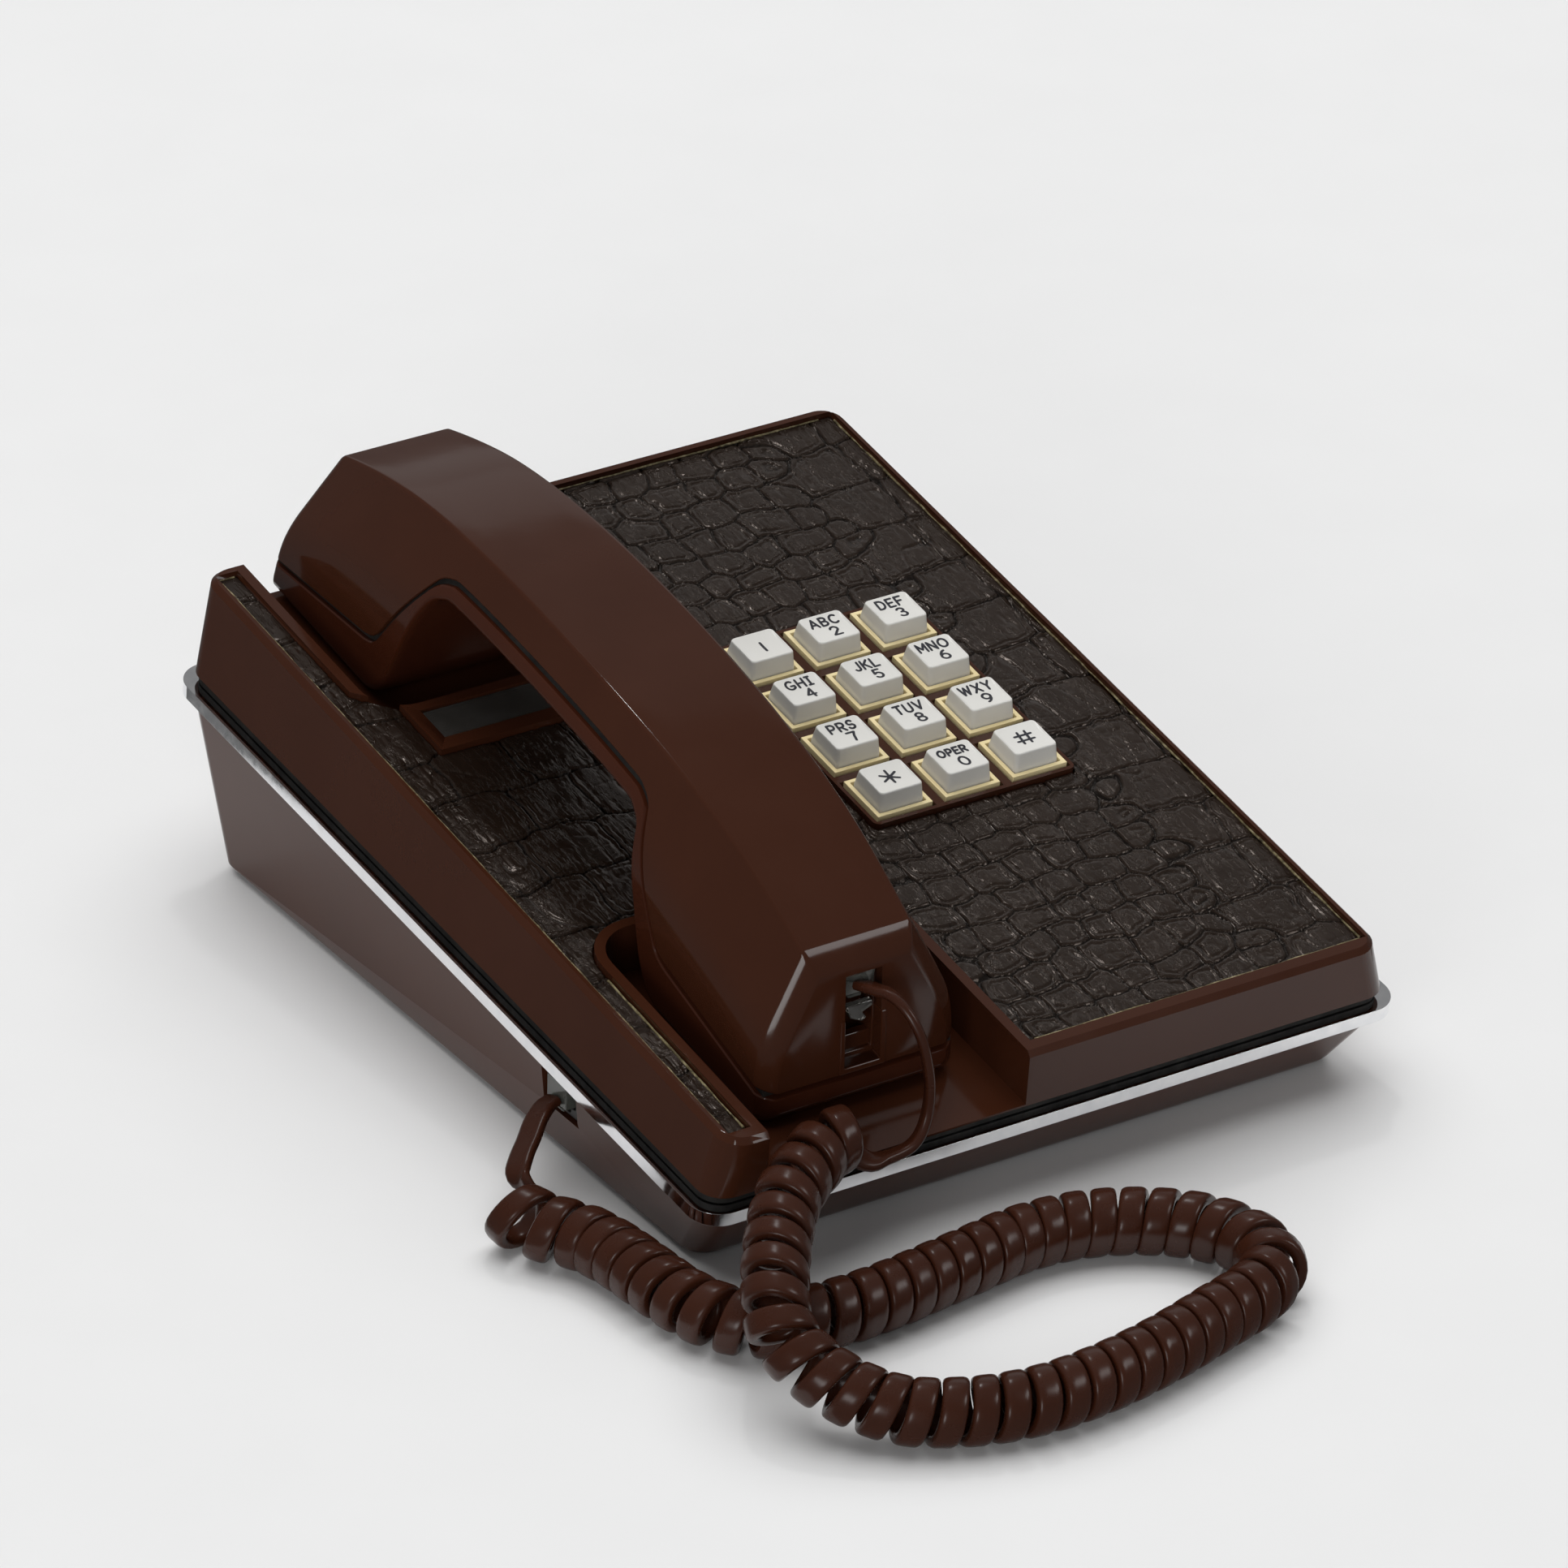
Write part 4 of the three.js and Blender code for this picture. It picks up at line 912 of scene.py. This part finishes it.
def hide_relief(x, s):
    """Depth of the embossing below the hide's highest points."""
    wave_x = x + 2.2 * (value_noise(x, s, 14, 9, 1) - 0.5) + 1.0 * (value_noise(x, s, 4, 3, 2) - 0.5)
    wave_s = s + 2.6 * (value_noise(x, s, 11, 16, 3) - 0.5) + 1.3 * (value_noise(x, s, 3, 5, 4) - 0.5)
    first = np.full(x.shape, 1e9)
    second = np.full(x.shape, 1e9)
    size = np.zeros(x.shape)
    for cx, cs, width, length in scale_seeds():
        box = (np.abs(wave_x - cx) < width * 1.3) & (np.abs(wave_s - cs) < length * 1.3)
        if not box.any():
            continue
        dx, ds = (wave_x[box] - cx) / width, (wave_s[box] - cs) / length
        power = 5 if length > 10 else 2.8
        distance = (np.abs(dx) ** power + np.abs(ds) ** power) ** (1 / power)
        near, far, near_size = first[box], second[box], size[box]
        closer = distance < near
        far = np.where(closer, near, np.minimum(far, distance))
        near_size = np.where(closer, min(width, length), near_size)
        first[box], second[box], size[box] = np.where(closer, distance, near), far, near_size
    edge = (second - first) * size / 2
    big = size > 12
    rough_line = value_noise(x, s, 1.1, 1.1, 5)
    # the furrow round each scale, in places with a second one beside it
    depth = 0.68 * np.exp(-(edge / (0.14 + 0.13 * rough_line)) ** 2)
    twin = np.clip(value_noise(x, s, 6, 6, 6) * 2.6 - 0.6, 0, 1)
    depth += 0.36 * twin * np.exp(-((edge - 1.15 - 0.3 * rough_line) / 0.20) ** 2)
    depth += 0.07 * np.exp(-edge / 0.8)
    # short wrinkles combed across the rows, long splits in the big scales, and fine creases
    fringe = value_noise(x, s, 0.85, 4.5, 8)
    comb = np.clip((fringe - 0.66) * 5, 0, 1)
    depth += np.where(big, 0.34, 0.16) * comb * np.exp(-edge / 3.0)
    split = np.abs(value_noise(x + 3 * value_noise(x, s, 6, 9, 10), s, 7, 30, 9) - 0.5)
    depth += np.where(big, 0.28, 0.0) * np.exp(-(split / 0.014) ** 2)
    crease = np.abs(value_noise(x, s, 3.2, 3.2, 11) - 0.5)
    depth += 0.09 * np.exp(-(crease / 0.03) ** 2)
    return np.clip(depth, 0.0, 1.0)


def add_hide():
    gx, gs = np.meshgrid(np.arange(*HIDE_X, HIDE_STEP), np.arange(*HIDE_S, HIDE_STEP))
    top = HIDE_TOP - 0.02 - hide_relief(gx, gs)
    rows, columns = gx.shape
    upper = np.stack([gx, gs, top], axis=2).reshape(-1, 3)
    lower = np.stack([gx, gs, np.full(gx.shape, HIDE_BOTTOM)], axis=2).reshape(-1, 3)
    count = rows * columns
    r, c = np.meshgrid(np.arange(rows - 1), np.arange(columns - 1), indexing="ij")
    a = (r * columns + c).ravel()
    grid = np.stack([a, a + 1, a + columns + 1, a + columns], axis=1)
    faces = grid.tolist() + (grid[:, ::-1] + count).tolist()
    border = ([k for k in range(columns)] + [k * columns + columns - 1 for k in range(1, rows)]
              + [(rows - 1) * columns + k for k in range(columns - 2, -1, -1)]
              + [k * columns for k in range(rows - 2, 0, -1)])
    for k, first in enumerate(border):
        after = border[(k + 1) % len(border)]
        faces.append((first, first + count, after + count, after))
    mesh = closed_mesh("embossed_hide", np.concatenate([upper, lower]), faces, DECK)
    piece = new_piece("embossed_hide", mesh, "leather", "base", ["leather_inlay"])
    blank = bpy.data.meshes.new("blank")
    source = bmesh.new()
    source.from_mesh(frame["nodes"]["leather_inlay"].data)
    bmesh.ops.remove_doubles(source, verts=source.verts, dist=WELD)
    source.to_mesh(blank)
    source.free()
    combined(piece, blank, "INTERSECT")
    shade(piece.data, 60)


def bead_mesh(name, line, radius_at):
    """A closed bead along a line on the deck, its radius given at each point."""
    ahead = directions(line)
    up = np.array([0.0, 0.0, 1.0])
    points, sides = [], 8
    for place, along, radius in zip(line, ahead, radius_at):
        across = np.cross(along, up)
        across /= np.linalg.norm(across)
        lift = np.cross(across, along)
        for k in range(sides):
            angle = 2 * math.pi * k / sides
            points.append(place + radius * (math.cos(angle) * across + math.sin(angle) * lift))
    rings = len(line)
    mesh = closed_mesh(name, points, ring_faces(rings, sides) + end_faces(rings, sides), DECK)
    shade(mesh, 60)
    return mesh


def add_glue():
    """The old glue that shows in a thin uneven line between the hide and its rim."""
    low, high = HIDE_TOP - 0.05, -0.32         # at the hide's edge, or smeared up the rim
    runs = {
        "right": [(80.28, 6), (80.28, 217), low], "back": [(77, 218.7), (-4, 218.7), low],
        "front": [(-4.5, 4.50), (79, 4.50), high], "strip_right": [(-75.55, 6), (-75.55, 60), low],
        "strip_front": [(-79.6, 4.55), (-75.9, 4.55), low],
        "strip_back": [(-79.6, 218.6), (-75.9, 218.6), low],
        "strip_left": [(-80.34, 8), (-80.34, 216), high],
    }
    for name, ((x0, s0), (x1, s1), height) in runs.items():
        count = max(6, int(math.hypot(x1 - x0, s1 - s0) / 1.2))
        t = np.linspace(0, 1, count)
        x, s = x0 + (x1 - x0) * t, s0 + (s1 - s0) * t
        wander = value_noise(x, s, 3.1, 3.1, 21) - 0.5
        thick = 0.14 + 0.20 * value_noise(x, s, 5.3, 5.3, 22)
        line = np.stack([x + 0.12 * wander, s + 0.12 * wander, height + 0.1 * wander], axis=1)
        mesh = bead_mesh("glue_" + name, line, thick)
        mesh.materials.append(LOOKS["glue"])
        new_piece("glue_" + name, mesh, "leather", "base")


# ---- the cord

CORD_WIDTH, CORD_THICKNESS = 5.5 * MM, 3.0 * MM
COIL_RADIUS = 7.25 * MM

# The lead slopes down from the jack in the base's side and runs into the coil's first turn.
BASE_LEAD = millimetres([
    [-86.7, 62.4, 16.8], [-88.4, 62.2, 16.5], [-92.6, 59.6, 15.5], [-97.5, 55, 14], [-101.8, 51, 12.8],
    [-104.6, 47.4, 11.8], [-104.4, 44.2, 10.6],
])
COIL = millimetres([
    [-110, 41.2, 8.5], [-110, 37.4, 8.3], [-107, 31.5, 7.6], [-102.6, 25, 7.4], [-100.2, 16, 7.4],
    [-99, 4, 7.4], [-98, -6, 7.4], [-95.4, -15, 7.4], [-90, -22, 7.4], [-82, -25.8, 7.4], [-71, -27, 7.4],
    [-60, -26.6, 7.4], [-50, -25.4, 7.4], [-38, -23.8, 7.4], [-25, -22.2, 7.4], [-12, -23.6, 7.4],
    [0, -28.6, 7.4], [10, -37, 7.4], [15.4, -48, 7.4], [14, -58, 7.4], [5, -64.6, 7.4], [-8, -68.6, 7.4],
    [-24, -73, 7.4], [-42, -76, 7.4], [-58, -76, 7.4], [-72, -72, 7.4], [-83, -66, 8.2],
    [-90.5, -58.5, 10.8], [-95.4, -50.5, 14.6], [-97, -42.6, 18.8], [-93.7, -34.9, 22.6],
    [-87.5, -25.6, 25.2], [-81.4, -17.9, 27.2], [-76, -12.4, 28.8], [-69.2, -7.6, 30],
    [-62, -3.4, 30.9], [-58.4, -2.3, 31], [-55, -2.2, 31],
])
HANDSET_LEAD = millimetres([
    [-52, -3.4, 25.2], [-46.8, -3.6, 24.2], [-40.4, -3.2, 24.8], [-37.8, -2.8, 26.6],
    [-35.6, -2, 30.4], [-34.7, -1.5, 36.6], [-34.9, -0.5, 42.3], [-35.7, 1, 47.8], [-37, 4.2, 52.4],
    [-38.2, 8.6, 54.4], [-39.4, 12.6, 54.2], [-40.2, 16.6, 53.6],
])
# Share of the way along the coil and the spacing of its turns there.
TURN_SPACING = [(0.0, 5.6), (0.07, 5.7), (0.12, 6.8), (0.17, 7.0), (0.24, 6.0), (0.45, 5.9), (0.62, 6.0),
                (0.72, 6.2), (0.80, 6.7), (0.88, 7.4), (1.0, 7.6)]
STEPS_PER_TURN = 26
FIRST_TURN_WIDER, WIDER_FADES = 0.15, 0.9   # the first turn has sprung open; turns until that fades
TURN_GAP = 0.97                             # the least spacing of turns against the cord's width
TIGHTEST_BEND = 0.32                        # coil radius against bend radius where the spacing stops growing
PART_TURN = 70 / 360                        # brings the coil's end round to the handset's lead
LEAD_THINNER = 0.22                         # the leads against the cord in the coil
SQUARENESS = 0.62                           # below 1 squares the section's oval up
GROOVE_COIL, GROOVE_LEAD = 0.05, 0.17       # between the cord's lobes, and how much deeper in a lead
CORD_SIDES = 24
BASE_LEAD_FLAT = (0.68, -0.62, 0.34)        # which way the flat cord's width lies in each lead
HANDSET_LEAD_FLAT = (0.42, 0.80, -0.30)


def smooth_route(points, spacing):
    """A centripetal Catmull-Rom curve through the points, at an even spacing."""
    knots = [points[0] * 2 - points[1], *points, points[-1] * 2 - points[-2]]
    dense = []
    for a, b, c, d in zip(knots, knots[1:], knots[2:], knots[3:]):
        t1 = (b - a).length ** 0.5
        t2 = t1 + (c - b).length ** 0.5
        t3 = t2 + (d - c).length ** 0.5
        for k in range(24):
            t = t1 + (t2 - t1) * k / 24
            ab = a.lerp(b, t / t1)
            bc = b.lerp(c, (t - t1) / (t2 - t1))
            cd = c.lerp(d, (t - t2) / (t3 - t2))
            abc = ab.lerp(bc, t / t2)
            bcd = bc.lerp(cd, (t - t1) / (t3 - t1))
            dense.append(abc.lerp(bcd, (t - t1) / (t2 - t1)))
    dense.append(points[-1].copy())
    line = np.array(dense)
    along = np.concatenate([[0], np.cumsum(np.linalg.norm(np.diff(line, axis=0), axis=1))])
    count = max(2, round(along[-1] / spacing) + 1)
    even = np.linspace(0, along[-1], count)
    return np.stack([np.interp(even, along, line[:, k]) for k in range(3)], axis=1)


def directions(line):
    ahead = np.gradient(line, axis=0)
    return ahead / np.linalg.norm(ahead, axis=1)[:, None]


def carried(line, first):
    """A direction square to the line, carried along it without twist."""
    ahead = directions(line)
    side = np.zeros_like(line)
    current = np.array(first, float)
    for i, direction in enumerate(ahead):
        current = current - direction * current.dot(direction)
        current /= np.linalg.norm(current)
        side[i] = current
    return side


def coil_path():
    """The helix round the coil's middle line, and that line's direction beside each point."""
    step = 0.2 * MM
    middle = smooth_route(COIL, step)
    up = carried(middle, (0, 0, 1))
    ahead = directions(middle)
    across = np.cross(ahead, up)
    length = step * (len(middle) - 1)
    share, spacing = np.array(TURN_SPACING).T
    radius = COIL_RADIUS - CORD_THICKNESS / 2
    bend = np.linalg.norm(np.gradient(ahead, axis=0), axis=1) / step
    wide = np.convolve(bend, np.ones(101) / 101, mode="same")
    pitch = np.interp(np.arange(len(middle)) * step / length, share, spacing) * MM
    pitch = np.maximum(pitch, TURN_GAP * CORD_WIDTH / (1 - np.minimum(wide * radius, TIGHTEST_BEND)))
    turns = np.concatenate([[0], np.cumsum(step / ((pitch[1:] + pitch[:-1]) / 2))])
    whole = math.floor(turns[-1])
    turns *= whole / turns[-1]
    samples = np.arange(whole * STEPS_PER_TURN + 1) / STEPS_PER_TURN
    angle = math.radians(-90) - samples * 2 * math.pi * (1 + PART_TURN / whole)
    at = lambda table: np.stack([np.interp(samples, turns, table[:, k]) for k in range(3)], axis=1)
    spoke = at(up) * np.cos(angle)[:, None] + at(across) * np.sin(angle)[:, None]
    spoke /= np.linalg.norm(spoke, axis=1)[:, None]
    wider = radius * (1 + FIRST_TURN_WIDER * np.exp(-samples / WIDER_FADES))
    return at(middle) + spoke * wider[:, None], at(ahead)


def turned_between(count, first, last, hold_first=0.0, reach=1.0):
    """A direction turning smoothly from one to another, held still for the first share of the way."""
    t = np.clip((np.linspace(0, 1, count) - hold_first) / (reach * (1 - hold_first)), 0, 1)
    t = eased(t)[:, None]
    mixed = np.array(first, float) * (1 - t) + np.array(last, float) * t
    return mixed / np.linalg.norm(mixed, axis=1)[:, None]


def add_cord():
    helix, axis = coil_path()
    lead_in = smooth_route(BASE_LEAD + [Vector(helix[0])], 1.0 * MM)[:-1]
    lead_out = smooth_route([Vector(helix[-1])] + HANDSET_LEAD, 1.0 * MM)[1:]
    line = np.concatenate([lead_in, helix, lead_out])
    for _ in range(3):
        joint_in, joint_out = len(lead_in), len(lead_in) + len(helix)
        for centre in (joint_in, joint_out):
            part = slice(centre - 4, centre + 4)
            line[part] = (line[centre - 5:centre + 3] + 2 * line[part] + line[centre - 3:centre + 5]) / 4
    wide = np.concatenate([
        turned_between(len(lead_in), BASE_LEAD_FLAT, axis[0], 0.55), axis,
        turned_between(len(lead_out), axis[-1], HANDSET_LEAD_FLAT, 0.0, 0.35),
    ])
    # 1 in the leads, 0 in the coil
    grooved = np.concatenate([np.ones(len(lead_in)), np.zeros(len(helix)), np.ones(len(lead_out))])
    grooved = np.convolve(np.pad(grooved, 30, mode="edge"), np.ones(61) / 61, mode="valid")
    ahead = directions(line)
    wide -= ahead * np.sum(wide * ahead, axis=1)[:, None]
    wide /= np.linalg.norm(wide, axis=1)[:, None]
    thin = np.cross(ahead, wide)
    angles = (np.arange(CORD_SIDES) + 0.5) / CORD_SIDES * 2 * math.pi
    section = np.stack([np.sign(turn) * np.abs(turn) ** SQUARENESS * size / 2 for turn, size in
                        ((np.cos(angles), CORD_WIDTH), (np.sin(angles), CORD_THICKNESS))], axis=1)
    lead = grooved[:, None]
    valley = np.exp(-(section[None, :, 0] / (0.7 * MM)) ** 2)
    groove = (1 - LEAD_THINNER * lead) * (1 - (GROOVE_COIL + GROOVE_LEAD * lead) * valley)
    rings = (line[:, None, :] + section[None, :, :1] * wide[:, None, :]
             + (section[None, :, 1] * groove)[:, :, None] * thin[:, None, :])
    faces = ring_faces(len(line), CORD_SIDES) + end_faces(len(line), CORD_SIDES)
    mesh = bpy.data.meshes.new("curly_cord")
    mesh.from_pydata(rings.reshape(-1, 3).tolist(), [], faces)
    shade(mesh, 60)
    piece = new_piece("curly_cord", mesh, "cord_vinyl", None, ["base_lead", "cord_coil", "handset_lead"])
    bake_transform(piece)


# ---- building

REBUILT = {"base_lead", "cord_coil", "handset_lead", "handset_outer_shell", "handset_inner_shell",
           "leather_inlay", *("key_" + label for label, _, _ in KEY_LETTERS)}

add_camera()
for node in frame["nodes"]:
    if node not in REBUILT:
        refined(node)
add_handset()
add_keys()
add_hide()
add_glue()
add_cord()
add_studio()
